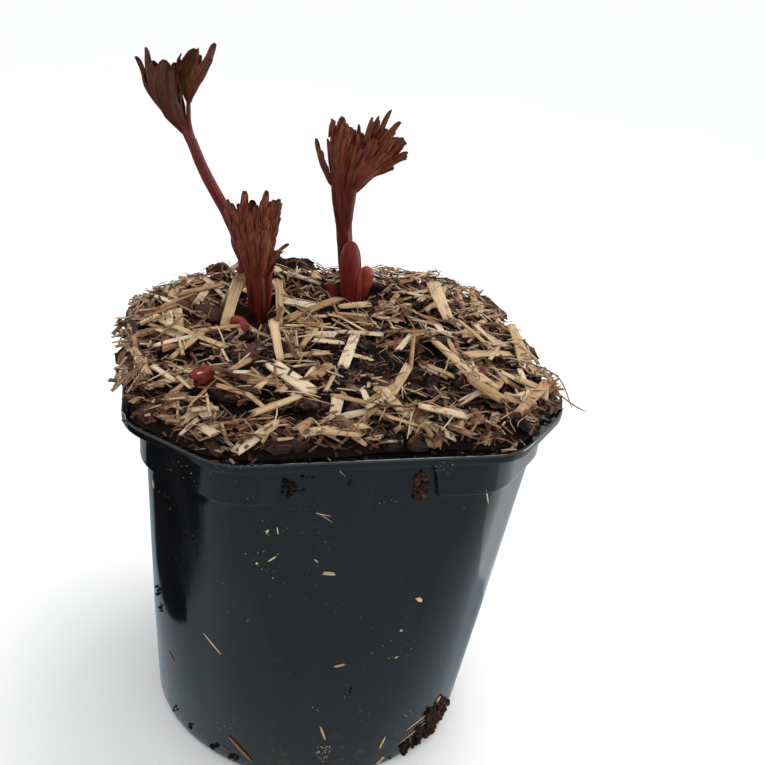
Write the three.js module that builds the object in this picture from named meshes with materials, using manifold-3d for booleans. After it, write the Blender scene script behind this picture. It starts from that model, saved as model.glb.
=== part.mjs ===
// A young peony in a nursery pot: seven shoots and buds, bark and straw mulch, soil and rootstock.
// Millimetres, +Z up. The origin is the middle of the pot's underside, and -Y is the pot's front.

import * as THREE from 'three';
import { mergeVertices } from 'three/addons/utils/BufferGeometryUtils.js';
import Module from 'manifold-3d';

const wasm = await Module();
wasm.setup();

// Pot, driving dimensions
const POT_HEIGHT = 200;
const RIM_MAIN = 100;
const RIM_DIAGONAL = 114.6;
const RIM_CORNER = 28;
const LIP_HEIGHT = 4.7;
const COLLAR_HEIGHT = 20;
const COLLAR_MAIN = 92.8;
const COLLAR_DIAGONAL = 107.4;
const BODY_MAIN = 90;
const BODY_DIAGONAL = 104.7;
const BODY_CORNER = 25;
const BASE_RADIUS = 86.5;
const BASE_CORNER = 82;
const BASE_EDGE = 3.5;
const EDGE_ROUND = 1;
const COLLAR_SLOPE = 1.5;
const LIP_SLOPE = 0.6;
const WALL = 1.8;
const FLOOR = 2.5;
const PANEL_TOP_HALF = 30;
const PANEL_FOOT_HALF = 34.5;
const PANEL_CENTRE = -3.8;
const PANEL_CUT = 10;
const PANEL_SKIN = 0.05;
const DRAIN_HOLES = 8;
const DRAIN_RADIUS = 6;
const DRAIN_CIRCLE = 62;
const CORNER_STEPS = 3;
const BODY_LEVELS = [0.25, 0.5, 0.75];

// Clearance between pieces that touch
const GAP = 0.3;

// Soil and mulch
const SOIL_TOP = 194;
const BARK_MAIN = 94;
const BARK_DIAGONAL = 108;
const BARK_EDGE = 2.6;
const BARK_RISE = 8.5;
const BARK_GRAIN = 3.4;
const BARK_RINGS = 8;
const BARK_SECTORS = 40;
const BARK_SPACING = 38;
const BARK_LENGTH = [13, 26];
const BARK_WIDTH = [7, 13];
const BARK_THICKNESS = [3.5, 6];
const BARK_REACH = 0.95;
const BARK_EMBED = 0.6;
const BARK_LOOSE = 0.3;
const STRAW_SPACING = 19;
const STRAW_LENGTH = [28, 44];
const STRAW_WIDTH = [5, 9];
const STRAW_THICKNESS = [1.8, 2.8];
const STRAW_REACH = 1.01;
const STRAW_STEP = 0.4;
const STRAW_MIDDLE = [20, -10];
const STRAW_ATTEMPTS = 14;
const STRAW_HOLD = 1.5;
const STRAW_DROP = 1.5;
const STRAW_LOOSE = 0.12;

// Hollows round the shoots and a hump behind them: centre, radius and rise
const DIPS = [
  { x: -33, y: 30, radius: 16, rise: -7.5 },
  { x: -43, y: 13, radius: 10, rise: -4 },
  { x: 18, y: 52, radius: 18, rise: -3 },
  { x: 12, y: 5, radius: 22, rise: -3 },
  { x: -15, y: 80, radius: 24, rise: 7 },
  { x: 66, y: 58, radius: 18, rise: 3 },
];

// The shoots' leaf planes face the viewer, who stands a little left of the pot's front
const FACING = THREE.MathUtils.degToRad(-15.7);

// Where the shoots and buds leave the mulch: x, y, height
const TALL_FOOT = new THREE.Vector3(-40.1, 73.7, 213);
const LOW_FOOT = new THREE.Vector3(-33.4, 35.3, 205);
const RIGHT_FOOT = new THREE.Vector3(19.2, 62.2, 208.5);
const DARK_FOOT = new THREE.Vector3(18.9, 51.2, 208);
const BLUNT_FOOT = new THREE.Vector3(29.4, 59.2, 209);
const SMALL_FOOT = new THREE.Vector3(10, 58.6, 209);
const PINK_FOOT = new THREE.Vector3(-43.5, 15.4, 205);

// The room round each foot that no straw lies in
const FEET = [[TALL_FOOT, 14], [LOW_FOOT, 13], [RIGHT_FOOT, 10.5], [DARK_FOOT, 11.5], [BLUNT_FOOT, 10.5],
  [SMALL_FOOT, 8.5], [PINK_FOOT, 11]];

// The crown that everything grows from
const CROWN_TOP = 178;
const CROWN_DEPTH = 163;
const CROWN_FLATNESS = 0.9;
const CROWN_LUMPS = [[-37, 64, 16], [-38, 28, 17], [-8, 50, 15], [18, 56, 17]];
const CROWN_MIDDLE = 45;
const ROOT_ENDS = [[-62, 52, 70], [-48, -20, 60], [-10, -42, 45], [22, 6, 40], [58, 34, 62]];
const ROOT_KNEE = 32;
const ROOT_RADII = [9, 8, 2.5];

// Blades and stems
const BLADE = 0.7;
const BLADE_FOLD = 0.35;
const LOBE_WIDTH = 1.5;
const STEM_SIDES = 8;
const STALK_SIDES = 5;
const CORE_SIDES = 6;
const SLEEVE_SIDES = 8;
const SLEEVE_RISE = 19;

// The tall stem's line over the mulch: how far across and how high
const TALL_LEAN = [6, -6.8];
const TALL_LINE = [[4, -3], [3.2, 6], [1.6, 14.6], [-2.9, 25.4], [-8.2, 35.8], [-14.4, 45.9],
  [-19.9, 55.9], [-24.4, 65.9], [-26.4, 70.7]];
const TALL_RADII = [4.3, 4.2, 3.9, 3.7, 3.4, 3.2, 3.1, 3, 2.9, 2.8];

const colour = (r, g, b) => new THREE.Color().setRGB(r / 255, g / 255, b / 255, THREE.SRGBColorSpace);
const surface = (r, g, b, roughness) =>
  new THREE.MeshStandardMaterial({ color: colour(r, g, b), roughness, metalness: 0 });

const FINISH = {
  pot: surface(40, 46, 48, 0.42),
  soil: surface(30, 25, 21, 0.95),
  root: surface(150, 112, 76, 0.8),
  bark: surface(74, 46, 36, 0.9),
  straw: surface(208, 180, 130, 0.75),
  leaf: surface(104, 52, 40, 0.6),
  bud: surface(126, 36, 36, 0.5),
};

// A seeded draw between 0 and 1
function dice(seed) {
  let state = seed;
  return () => {
    state = (state * 1664525 + 1013904223) % 4294967296;
    return state / 4294967296;
  };
}

const between = (draw, [low, high]) => low + (high - low) * draw();

// A closed body through a list of rings that all have the same number of points
function loft(rings, capFaces = null) {
  const count = rings[0].length;
  const points = rings.flat();
  const faces = [];
  for (let i = 0; i + 1 < rings.length; i++) {
    for (let j = 0; j < count; j++) {
      const a = i * count + j;
      const b = i * count + ((j + 1) % count);
      faces.push([a, b, b + count], [a, b + count, a + count]);
    }
  }
  const last = (rings.length - 1) * count;
  if (capFaces) {
    for (const [a, b, c] of capFaces) {
      faces.push([c, b, a], [last + a, last + b, last + c]);
    }
  } else {
    const middles = [rings[0], rings[rings.length - 1]].map((ring) =>
      ring.reduce((sum, p) => sum.add(p), new THREE.Vector3()).divideScalar(count));
    const [first, final] = [points.length, points.length + 1];
    points.push(...middles);
    for (let j = 0; j < count; j++) {
      const next = (j + 1) % count;
      faces.push([next, j, first], [last + j, last + next, final]);
    }
  }
  const geometry = new THREE.BufferGeometry().setFromPoints(points);
  geometry.setIndex(faces.flat());
  return geometry;
}

// The signed volume of a closed geometry, negative where its faces point in
function signedVolume(positions, index) {
  const [a, b, c] = [new THREE.Vector3(), new THREE.Vector3(), new THREE.Vector3()];
  let volume = 0;
  for (let i = 0; i < index.length; i += 3) {
    a.fromArray(positions, index[i] * 3);
    b.fromArray(positions, index[i + 1] * 3);
    c.fromArray(positions, index[i + 2] * 3);
    volume += a.dot(b.cross(c)) / 6;
  }
  return volume;
}

// A geometry as a solid that can be joined and cut
function solid(geometry) {
  const bare = geometry.clone();
  bare.deleteAttribute('normal');
  bare.deleteAttribute('uv');
  const merged = mergeVertices(bare, 1e-4);
  const positions = merged.attributes.position.array;
  const index = Array.from(merged.index.array);
  if (signedVolume(positions, index) < 0) {
    index.reverse();
  }
  return new wasm.Manifold(new wasm.Mesh({
    numProp: 3,
    vertProperties: new Float32Array(positions),
    triVerts: new Uint32Array(index),
  }));
}

const join = (solids) => solids.reduce((whole, next) => whole.add(next));

// The largest connected body of a solid: loose scraps are dropped
function mainBody(whole) {
  const bodies = whole.decompose();
  return bodies.reduce((best, next) => (next.volume() > best.volume() ? next : best));
}

// A solid as a named mesh, without facets finer than the given detail
function piece(name, whole, material, detail = 0.01) {
  const { vertProperties, triVerts } = whole.simplify(detail).getMesh();
  const geometry = new THREE.BufferGeometry();
  geometry.setAttribute('position', new THREE.BufferAttribute(vertProperties, 3));
  geometry.setIndex(new THREE.BufferAttribute(triVerts, 1));
  geometry.computeVertexNormals();
  const mesh = new THREE.Mesh(geometry, material);
  mesh.name = name;
  return mesh;
}

// One ring of the pot's eight-sided section, with the flats at two distances and rounded corners
function potRing(z, main, diagonal, corner) {
  const turn = Math.PI / 4;
  const ring = [];
  for (let k = 0; k < 8; k++) {
    const [from, to] = [k * turn, (k + 1) * turn];
    const p = (k % 2 ? diagonal : main) - corner;
    const q = (k % 2 ? main : diagonal) - corner;
    const x = (p * Math.sin(to) - q * Math.sin(from)) / Math.sin(turn);
    const y = (q * Math.cos(from) - p * Math.cos(to)) / Math.sin(turn);
    for (let j = 0; j <= CORNER_STEPS; j++) {
      const angle = from + (turn * j) / CORNER_STEPS;
      ring.push(new THREE.Vector3(x + corner * Math.cos(angle), y + corner * Math.sin(angle), z));
    }
  }
  return ring;
}

// The body's section at a share of its height, eight-sided above and nearly round below
function bodyRing(share, inset = 0) {
  const z = share * (POT_HEIGHT - LIP_HEIGHT - COLLAR_HEIGHT);
  const main = THREE.MathUtils.lerp(BASE_RADIUS, BODY_MAIN, share) - inset;
  const diagonal = THREE.MathUtils.lerp(BASE_RADIUS, BODY_DIAGONAL, share) - inset;
  const corner = THREE.MathUtils.lerp(BASE_CORNER, BODY_CORNER, share) - inset;
  return potRing(z, main, diagonal, corner);
}

// The room inside the pot, from one height to another
function cavity(bottom, top, inset) {
  const straight = POT_HEIGHT - LIP_HEIGHT - COLLAR_HEIGHT;
  const above = BODY_LEVELS.concat(1).filter((share) => share * straight > bottom);
  const levels = [bottom / straight, ...above];
  const rings = levels.map((share) => bodyRing(Math.min(share, 1), WALL + inset));
  rings[0] = rings[0].map((p) => new THREE.Vector3(p.x, p.y, bottom));
  const neck = bodyRing(1, WALL + inset);
  rings.push(neck.map((p) => new THREE.Vector3(p.x, p.y, top)));
  return loft(rings);
}

function makePot() {
  const shoulder = POT_HEIGHT - LIP_HEIGHT - COLLAR_HEIGHT;
  const collar = POT_HEIGHT - LIP_HEIGHT;
  const foot = bodyRing(0);
  const rimRing = (z, inset) => potRing(z, RIM_MAIN - inset, RIM_DIAGONAL - inset, RIM_CORNER - inset);
  const collarRing = (z, inset) =>
    potRing(z, COLLAR_MAIN - inset, COLLAR_DIAGONAL - inset, RIM_CORNER - inset);
  const baseRing = (z, inset) => potRing(z, BASE_RADIUS - inset, BASE_RADIUS - inset, BASE_CORNER - inset);
  const rings = [
    baseRing(0, BASE_EDGE),
    baseRing(EDGE_ROUND, EDGE_ROUND),
    foot.map((p) => new THREE.Vector3(p.x, p.y, BASE_EDGE)),
    ...BODY_LEVELS.map((share) => bodyRing(share)),
    bodyRing(1),
    collarRing(shoulder, EDGE_ROUND),
    collarRing(shoulder + COLLAR_SLOPE, 0),
    collarRing(collar, 0),
    rimRing(collar + LIP_SLOPE, EDGE_ROUND),
    rimRing(collar + LIP_SLOPE + 0.8 * EDGE_ROUND, 0),
    rimRing(POT_HEIGHT - EDGE_ROUND, 0),
    rimRing(POT_HEIGHT, EDGE_ROUND),
  ];
  let pot = solid(loft(rings)).subtract(solid(cavity(FLOOR, POT_HEIGHT + 1, 0)));
  for (const side of [-1, 1]) {
    pot = pot.subtract(solid(collarPanel(side, shoulder, collar)));
  }
  for (let k = 0; k < DRAIN_HOLES; k++) {
    const angle = ((k + 0.5) * 2 * Math.PI) / DRAIN_HOLES;
    const hole = new THREE.CylinderGeometry(DRAIN_RADIUS, DRAIN_RADIUS, FLOOR * 3, 16);
    hole.rotateX(Math.PI / 2);
    hole.translate(DRAIN_CIRCLE * Math.cos(angle), DRAIN_CIRCLE * Math.sin(angle), FLOOR / 2);
    pot = pot.subtract(solid(hole));
  }
  return pot;
}

// The sunk panel in the middle of the collar: it lies flush with the body below, with slanted ends
function collarPanel(side, shoulder, collar) {
  const outline = new THREE.Shape();
  outline.moveTo(PANEL_CENTRE - PANEL_FOOT_HALF, shoulder - EDGE_ROUND);
  outline.lineTo(PANEL_CENTRE + PANEL_FOOT_HALF, shoulder - EDGE_ROUND);
  outline.lineTo(PANEL_CENTRE + PANEL_TOP_HALF, collar);
  outline.lineTo(PANEL_CENTRE - PANEL_TOP_HALF, collar);
  outline.closePath();
  const panel = new THREE.ExtrudeGeometry(outline, { depth: PANEL_CUT, bevelEnabled: false });
  panel.rotateX(Math.PI / 2);
  const skin = BODY_MAIN + PANEL_SKIN;
  panel.translate(0, side > 0 ? skin + PANEL_CUT : -skin, 0);
  return panel;
}

// How far out a point lies, from 0 on the axis to 1 at the rim
function reach(x, y) {
  const diagonal = (Math.abs(x) + Math.abs(y)) / (Math.SQRT2 * RIM_DIAGONAL);
  return Math.max(Math.abs(x) / RIM_MAIN, Math.abs(y) / RIM_MAIN, diagonal);
}

// The height of the mulch bed, without its loose pieces
function bedHeight(x, y) {
  const out = Math.min(1, reach(x, y));
  let z = POT_HEIGHT + BARK_EDGE + BARK_RISE * (1 - out ** 3);
  for (const dip of DIPS) {
    z += dip.rise * Math.exp(-((x - dip.x) ** 2 + (y - dip.y) ** 2) / dip.radius ** 2);
  }
  return z;
}

// Smooth lumps of the bed, about a chip's size
function grain(x, y) {
  const wide = Math.sin(x * 0.21 + 1.3) * Math.cos(y * 0.24 - 0.4);
  const fine = Math.sin(x * 0.47 - y * 0.33) * Math.cos(y * 0.51 + x * 0.18 + 2);
  return BARK_GRAIN * (0.35 * wide + 0.25 * fine);
}

// The bed's upper part: a ring-and-sector net over the soil and the lip's inner half
function barkCap() {
  const rings = [];
  const outline = potRing(0, BARK_MAIN, BARK_DIAGONAL, RIM_CORNER);
  const edge = new THREE.CatmullRomCurve3(outline, true, 'centripetal').getSpacedPoints(BARK_SECTORS);
  edge.pop();
  const wander = (k) => 1 + 0.018 * Math.sin(k * 2.1) + 0.012 * Math.sin(k * 4.7 + 1);
  const bottom = POT_HEIGHT + GAP;
  rings.push(edge.map((p, k) => new THREE.Vector3(p.x * wander(k), p.y * wander(k), bottom)));
  for (let i = 0; i < BARK_RINGS; i++) {
    const share = 1 - i / BARK_RINGS;
    rings.push(edge.map((p, k) => {
      const [x, y] = [p.x * wander(k) * share, p.y * wander(k) * share];
      const z = i ? bedHeight(x, y) + grain(x, y) : bottom + 1.6;
      return new THREE.Vector3(x, y, Math.max(z, bottom + 1.2));
    }));
  }
  return loft(rings);
}

// A flat chip with slanted ends, lying along X
function chip(length, width, thickness, skew) {
  const box = new THREE.BoxGeometry(length, width, thickness);
  const position = box.attributes.position;
  for (let i = 0; i < position.count; i++) {
    const end = Math.sign(position.getX(i));
    position.setX(i, position.getX(i) + skew * end * position.getY(i));
    position.setY(i, position.getY(i) * (1 + 0.15 * end * skew));
  }
  return box;
}

// A chip laid on the bed, following its slope from end to end
function lay(box, length, { x, y, turn, lift, lean, roll }) {
  const [dx, dy] = [Math.cos(turn) * length * 0.4, Math.sin(turn) * length * 0.4];
  const [near, far] = [bedHeight(x - dx, y - dy), bedHeight(x + dx, y + dy)];
  const slope = Math.atan2(far - near, length * 0.8);
  box.rotateX(roll);
  box.rotateY(-slope - lean);
  box.rotateZ(turn);
  box.translate(x, y, (near + far) / 2 + lift);
  return box;
}

// Places spread evenly over the pot's section, each moved a little at random
function places(draw, spacing) {
  const count = Math.ceil((2 * RIM_MAIN) / spacing);
  return Array.from({ length: count * count }, (_, k) => {
    const [column, row] = [k % count, Math.floor(k / count)];
    return [column, row].map((cell) => (cell + draw() - count / 2) * spacing);
  });
}

// A chip of a kind, drawn at random for a place on the bed
function drawChip(draw, [x, y], lengths, widths, thicknesses, loose) {
  const length = between(draw, lengths);
  const box = chip(length, between(draw, widths), between(draw, thicknesses), draw() - 0.5);
  const turn = draw() * Math.PI;
  const lean = loose * (draw() - 0.5);
  const roll = 2 * loose * (draw() - 0.5);
  const ends = [-1, 1].map((end) =>
    [x + end * Math.cos(turn) * length * 0.5, y + end * Math.sin(turn) * length * 0.5]);
  return { box, length, ends, pose: { x, y, turn, lean, roll } };
}

function makeBark(clearance) {
  const draw = dice(71);
  const solids = [solid(barkCap()), solid(cavity(SOIL_TOP + GAP, POT_HEIGHT + 1, GAP))];
  for (const spot of places(draw, BARK_SPACING)) {
    const drawn = drawChip(draw, spot, BARK_LENGTH, BARK_WIDTH, BARK_THICKNESS, BARK_LOOSE);
    const { box, length, ends, pose } = drawn;
    if (ends.every(([x, y]) => reach(x, y) < BARK_REACH)) {
      solids.push(solid(lay(box, length, { ...pose, lift: BARK_EMBED })));
    }
  }
  return mainBody(join(solids).subtract(wallRoom()).subtract(clearance));
}

// The room that the pot's wall and lip take up, a clearance larger
function wallRoom() {
  const [low, high] = [SOIL_TOP - COLLAR_HEIGHT, POT_HEIGHT + GAP];
  const block = [low, high].map((z) => potRing(z, 1.3 * RIM_MAIN, 1.3 * RIM_DIAGONAL, RIM_CORNER));
  return solid(loft(block)).subtract(solid(cavity(low - 1, high + 1, GAP)));
}

// The distance from a foot to the line between a chip's ends
function clearOf(foot, [[ax, ay], [bx, by]]) {
  const line = new THREE.Line3(new THREE.Vector3(ax, ay, 0), new THREE.Vector3(bx, by, 0));
  const spot = new THREE.Vector3(foot.x, foot.y, 0);
  return line.closestPointToPoint(spot, true, new THREE.Vector3()).distanceTo(spot);
}

// A straw chip that has come down on the bed as low as the bark lets it, or null where it has no room
function fallenStraw(draw, spot, bark) {
  const drawn = drawChip(draw, spot, STRAW_LENGTH, STRAW_WIDTH, STRAW_THICKNESS, STRAW_LOOSE);
  const { box, length, ends, pose } = drawn;
  const inside = ends.every(([x, y]) => reach(x, y) < STRAW_REACH);
  if (!inside || FEET.some(([foot, room]) => clearOf(foot, ends) < room)) {
    return null;
  }
  let straw = solid(lay(box, length, { ...pose, lift: STRAW_DROP }));
  const low = straw.boundingBox().min[2] - POT_HEIGHT - GAP;
  straw = straw.translate(0, 0, Math.max(0, -low));
  while (!straw.translate(0, 0, -GAP).intersect(bark).isEmpty()) {
    straw = straw.translate(0, 0, STRAW_STEP);
  }
  return straw;
}

// The straw layer grows outward from its middle, and each chip lies across one that is already there
function makeStraw(bark) {
  const draw = dice(2024);
  const fromMiddle = ([x, y]) => Math.hypot(x - STRAW_MIDDLE[0], y - STRAW_MIDDLE[1]);
  const spots = places(draw, STRAW_SPACING).sort((a, b) => fromMiddle(a) - fromMiddle(b));
  let layer = null;
  for (const spot of spots) {
    for (let attempt = 0; attempt < STRAW_ATTEMPTS; attempt++) {
      const straw = fallenStraw(draw, spot, bark);
      if (straw && (!layer || straw.intersect(layer).volume() > STRAW_HOLD)) {
        layer = layer ? layer.add(straw) : straw;
        break;
      }
    }
  }
  return layer;
}

// A point of a shoot, from its distance across, its height and its distance back
function stand(foot, across, up, back = 0) {
  const turned = new THREE.Vector3(across, back, up).applyAxisAngle(new THREE.Vector3(0, 0, 1), FACING);
  return turned.add(foot);
}

// A tapering round stem through points with a radius at each
function stem(points, radii, sides, steps) {
  const path = new THREE.CatmullRomCurve3(points, false, 'centripetal');
  const frames = path.computeFrenetFrames(steps, false);
  const rings = [];
  for (let i = 0; i <= steps; i++) {
    const along = i / steps;
    const centre = path.getPointAt(along);
    const at = path.getUtoTmapping(along) * (radii.length - 1);
    const k = Math.min(Math.floor(at), radii.length - 2);
    const radius = THREE.MathUtils.lerp(radii[k], radii[k + 1], at - k);
    rings.push(Array.from({ length: sides }, (_, j) => {
      const angle = (2 * Math.PI * j) / sides;
      return centre.clone()
        .addScaledVector(frames.normals[i], radius * Math.cos(angle))
        .addScaledVector(frames.binormals[i], radius * Math.sin(angle));
    }));
  }
  return loft(rings);
}

// A narrow folded blade from its root over a bend to its tip. Its back faces the given side
function blade(root, bend, tip, width, out) {
  const path = new THREE.QuadraticBezierCurve3(root, bend, tip);
  const shares = [[0, 0.55], [0.38, 1], [0.74, 0.72], [1, 0.18]];
  const rings = shares.map(([along, share]) => {
    const centre = path.getPoint(along);
    const tangent = path.getTangent(along);
    const side = new THREE.Vector3().crossVectors(tangent, out).normalize();
    const normal = new THREE.Vector3().crossVectors(side, tangent).normalize();
    const half = (width / 2) * share;
    const at = (s, n) => centre.clone().addScaledVector(side, s).addScaledVector(normal, n);
    return [at(half, -half * BLADE_FOLD), at(0, BLADE), at(-half, -half * BLADE_FOLD), at(0, -BLADE)];
  });
  return loft(rings, [[0, 1, 3], [1, 2, 3]]);
}

// A cupped bunch of blades round a slimmer core: each row gives a tip (across, up, back) and a width.
// The blades leave one root, bulge out to the cup's belly and close towards their tips
function bunch(foot, root, belly, core, rows, { bulge = 0.62, cup = 0.42 } = {}) {
  const blades = rows.map(([across, up, back, width, rise = 0.45]) => {
    const start = stand(foot, root[0] + (across - belly[0]) * 0.08, root[1], back * 0.12);
    const middle = stand(
      foot,
      THREE.MathUtils.lerp(root[0], across, bulge) + (across - belly[0]) * cup,
      THREE.MathUtils.lerp(root[1], up, rise),
      back * 1.1,
    );
    const end = stand(foot, across, up, back * 0.8);
    const out = new THREE.Vector3().subVectors(middle, stand(foot, belly[0], belly[1], 0)).normalize();
    return solid(blade(start, middle, end, width * LOBE_WIDTH, out));
  });
  const top = [0, 1].map((k) => belly[k] + (belly[k] - root[k]) * 0.5);
  const spine = [stand(foot, root[0], root[1] - 1), stand(foot, belly[0], belly[1]), stand(foot, ...top)];
  return [...blades, solid(stem(spine, [2, core, core * 0.35], CORE_SIDES, 4))];
}

// The stem's part under the mulch, from the crown up to the foot
function buried(foot, lean = [0, 0]) {
  return new THREE.Vector3(foot.x + lean[0], foot.y + lean[1], CROWN_TOP - 6);
}

// The tall leaning shoot: a bent stem, two leaf stalks and two folded bunches
function makeTall() {
  const foot = TALL_FOOT;
  const path = [buried(foot, TALL_LEAN), ...TALL_LINE.map(([across, up]) => stand(foot, across, up))];
  const leftStalk = [stand(foot, -24.2, 65), stand(foot, -28.4, 74), stand(foot, -34, 83)];
  const rightStalk = [stand(foot, -24.4, 65, 1), stand(foot, -27, 77, 1.5), stand(foot, -27, 90, 2)];
  const solids = [
    solid(stem(path, TALL_RADII, STEM_SIDES, 11)),
    solid(stem(leftStalk, [2.6, 2.8, 2.2], STALK_SIDES, 3)),
    solid(stem(rightStalk, [2.6, 2, 1.8], STALK_SIDES, 3)),
  ];
  const left = bunch(foot, [-30.5, 76.5], [-40.5, 95], 7, [
    [-54.3, 108.8, 0, 6.5], [-48.7, 113.8, -4, 7.5], [-42.5, 105.5, -8, 8.5], [-37.6, 109.4, -6, 8],
    [-32, 112.3, 0, 4.5], [-47, 107, 6, 8], [-39.5, 107, 9, 8.5],
  ]);
  const right = bunch(foot, [-27.2, 87], [-23.5, 101], 4, [
    [-25.3, 115.2, 3, 6.5], [-23, 116, 1, 3.5], [-14.3, 119, 0, 4.5], [-22, 111.5, 4, 5.5],
    [-19.5, 109.5, -3, 5.5],
  ], { cup: 0.2 });
  return join([...solids, ...left, ...right]);
}

// The short thick shoot: leaf stalks pressed together, and upright finger lobes
function makeLow() {
  const foot = LOW_FOOT;
  const stalks = [[-3.4, -1.6, -10, 36], [0.8, -3.2, -1, 37], [4, -0.2, 5, 37], [0, 3.4, 0, 38]];
  const solids = stalks.map(([x, back, topX, top]) => solid(stem(
    [stand(foot, x * 0.8, -26, back * 0.8), stand(foot, x, 2, back), stand(foot, x * 1.15, 18, back * 1.1),
      stand(foot, topX, top, back * 1.3)],
    [3.9, 3.9, 3.5, 1.2], STALK_SIDES, 4)));
  const core = [stand(foot, 0, -28), stand(foot, 0, 6), stand(foot, 0, 26)];
  solids.push(solid(stem(core, [5.2, 5.2, 4.5], STEM_SIDES, 3)));
  const tops = [
    ...bunch(foot, [-5, 22], [-10, 42], 5.5, [
      [-17.1, 59.7, 0, 4.5], [-14.5, 59.2, -3, 6], [-11.5, 57.5, -7, 6], [-8.5, 65.8, -2, 4.5],
      [-13, 57, 5, 6.5],
    ], { cup: 0.2 }),
    ...bunch(foot, [1, 22], [1.5, 42], 6.5, [
      [-5, 58.5, -7, 6], [-2, 60.5, -5, 6], [2.3, 67, -1, 5.5], [8.9, 63.3, -2, 6],
      [5.2, 61, -7, 6], [6, 59, 7, 6.5], [-3, 58, 8, 6.5],
    ], { cup: 0.2 }),
    ...bunch(foot, [5, 26], [8, 33], 1.6, [
      [11.5, 39.8, -4, 3.2, 0.6], [14.8, 41.3, -2, 3.2, 0.65],
    ], { cup: 0 }),
  ];
  return join([...solids, ...tops]);
}

// The right shoot: a straight stem, a side leaf, an upright bunch and one that leans out
function makeRight() {
  const foot = RIGHT_FOOT;
  const path = [buried(foot), stand(foot, 0, -2), stand(foot, -3.2, 22), stand(foot, -5.2, 40),
    stand(foot, -6.4, 56), stand(foot, -6, 66)];
  const leftStalk = [stand(foot, -5.8, 36, -0.6), stand(foot, -9, 50, -2), stand(foot, -10.5, 70, -2)];
  const rightStalk = [stand(foot, -3.4, 36, -0.8), stand(foot, -2.6, 52, -2.4), stand(foot, 5, 72, -2)];
  const solids = [
    solid(stem(path, [4.4, 4.4, 4.1, 4.1, 4, 2], STEM_SIDES, 8)),
    solid(stem(leftStalk, [2, 3, 2], STALK_SIDES, 3)),
    solid(stem(rightStalk, [2, 3.2, 2], STALK_SIDES, 3)),
  ];
  const tops = [
    ...bunch(foot, [-11, 57], [-14, 62], 1.4, [[-22.8, 82.2, -2, 3.5]]),
    ...bunch(foot, [-9.5, 56], [-10.5, 76], 5, [
      [-15.5, 92.2, -1, 5.5], [-9.8, 94.2, -3, 6], [-5, 90.2, -5, 6], [-10.5, 89, 5, 6.5],
    ], { cup: 0.3 }),
    ...bunch(foot, [-2.8, 56.5], [10, 76], 6.5, [
      [0.5, 88, -5, 6.5], [5, 95.6, -1, 5.5], [8.5, 96.2, 0, 5.5], [14.4, 99.6, 1, 5],
      [19.8, 94.8, -2, 6, 0.4], [18.2, 87.4, -6, 6], [22.6, 86.2, -1, 5.5, 0.5],
      [25, 80.2, -3, 5, 0.58], [17.8, 71.4, -2, 3.5, 0.75], [10, 90, 7, 7], [19, 83, 6, 6.5],
      [9, 84, -8, 7], [14.5, 79, -8, 6],
    ], { bulge: 0.47, cup: 0 }),
  ];
  return join([...solids, ...tops]);
}

// A bud: a thick pointed or blunt column, leaning a little
function makeBud(foot, radius, height, tipShare, lean) {
  const tip = stand(foot, lean[0], height, lean[1]);
  const belly = stand(foot, lean[0] * 0.5, height * 0.45, lean[1] * 0.5);
  const near = stand(foot, lean[0] * 0.85, height * 0.84, lean[1] * 0.85);
  const path = [buried(foot), stand(foot, 0, -2), belly, near, tip];
  return solid(stem(path, [radius * 0.85, radius * 0.95, radius, radius * 0.85, radius * tipShare], 8, 9));
}

// The crown and its storage roots, a clearance larger where it cuts room for itself
function makeRootstock(extra = 0) {
  const solids = CROWN_LUMPS.map(([x, y, radius]) => {
    const ball = new THREE.IcosahedronGeometry(radius + extra, 1);
    ball.scale(1, 1, CROWN_FLATNESS);
    ball.translate(x, y, CROWN_DEPTH);
    return solid(ball);
  });
  const radii = ROOT_RADII.map((radius) => radius + extra);
  for (const [x, y, z] of ROOT_ENDS) {
    const from = new THREE.Vector3(x * 0.4, THREE.MathUtils.lerp(CROWN_MIDDLE, y, 0.1), CROWN_DEPTH);
    const knee = new THREE.Vector3(
      x * 0.8,
      THREE.MathUtils.lerp(CROWN_MIDDLE, y, 0.5),
      CROWN_DEPTH - ROOT_KNEE,
    );
    solids.push(solid(stem([from, knee, new THREE.Vector3(x, y, z)], radii, STALK_SIDES, 3)));
  }
  return join(solids);
}

// The plain hole that a shoot stands in: a round sleeve along its lower stem
function sleeve({ foot, room, lean = [0, 0], line = [[0, -3], [0, SLEEVE_RISE]] }) {
  const radius = (room + GAP + 0.1) / Math.cos(Math.PI / SLEEVE_SIDES);
  const path = [buried(foot, lean), ...line.map((point) => stand(foot, ...point))];
  return solid(stem(path, path.map(() => radius), SLEEVE_SIDES, path.length));
}

function makeSoil(rootstock, holes) {
  return solid(cavity(FLOOR + GAP, SOIL_TOP, GAP)).subtract(rootstock).subtract(holes);
}

// Where each shoot and bud stands: the thickness of its foot, and the line of its stem through the mulch
const STANDS = {
  shoot_tall: { foot: TALL_FOOT, room: 4.3, lean: TALL_LEAN, line: TALL_LINE.slice(0, 4) },
  shoot_low: { foot: LOW_FOOT, room: 8 },
  shoot_right: { foot: RIGHT_FOOT, room: 4.5, line: [[0, -3], [-2.8, SLEEVE_RISE]] },
  bud_dark: { foot: DARK_FOOT, room: 5.8 },
  bud_blunt: { foot: BLUNT_FOOT, room: 4.9 },
  bud_small: { foot: SMALL_FOOT, room: 3.2, line: [[0, -3], [-2, 8]] },
  bud_pink: { foot: PINK_FOOT, room: 5.4, line: [[0, -3], [-3.6, 12, -4]] },
};

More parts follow.
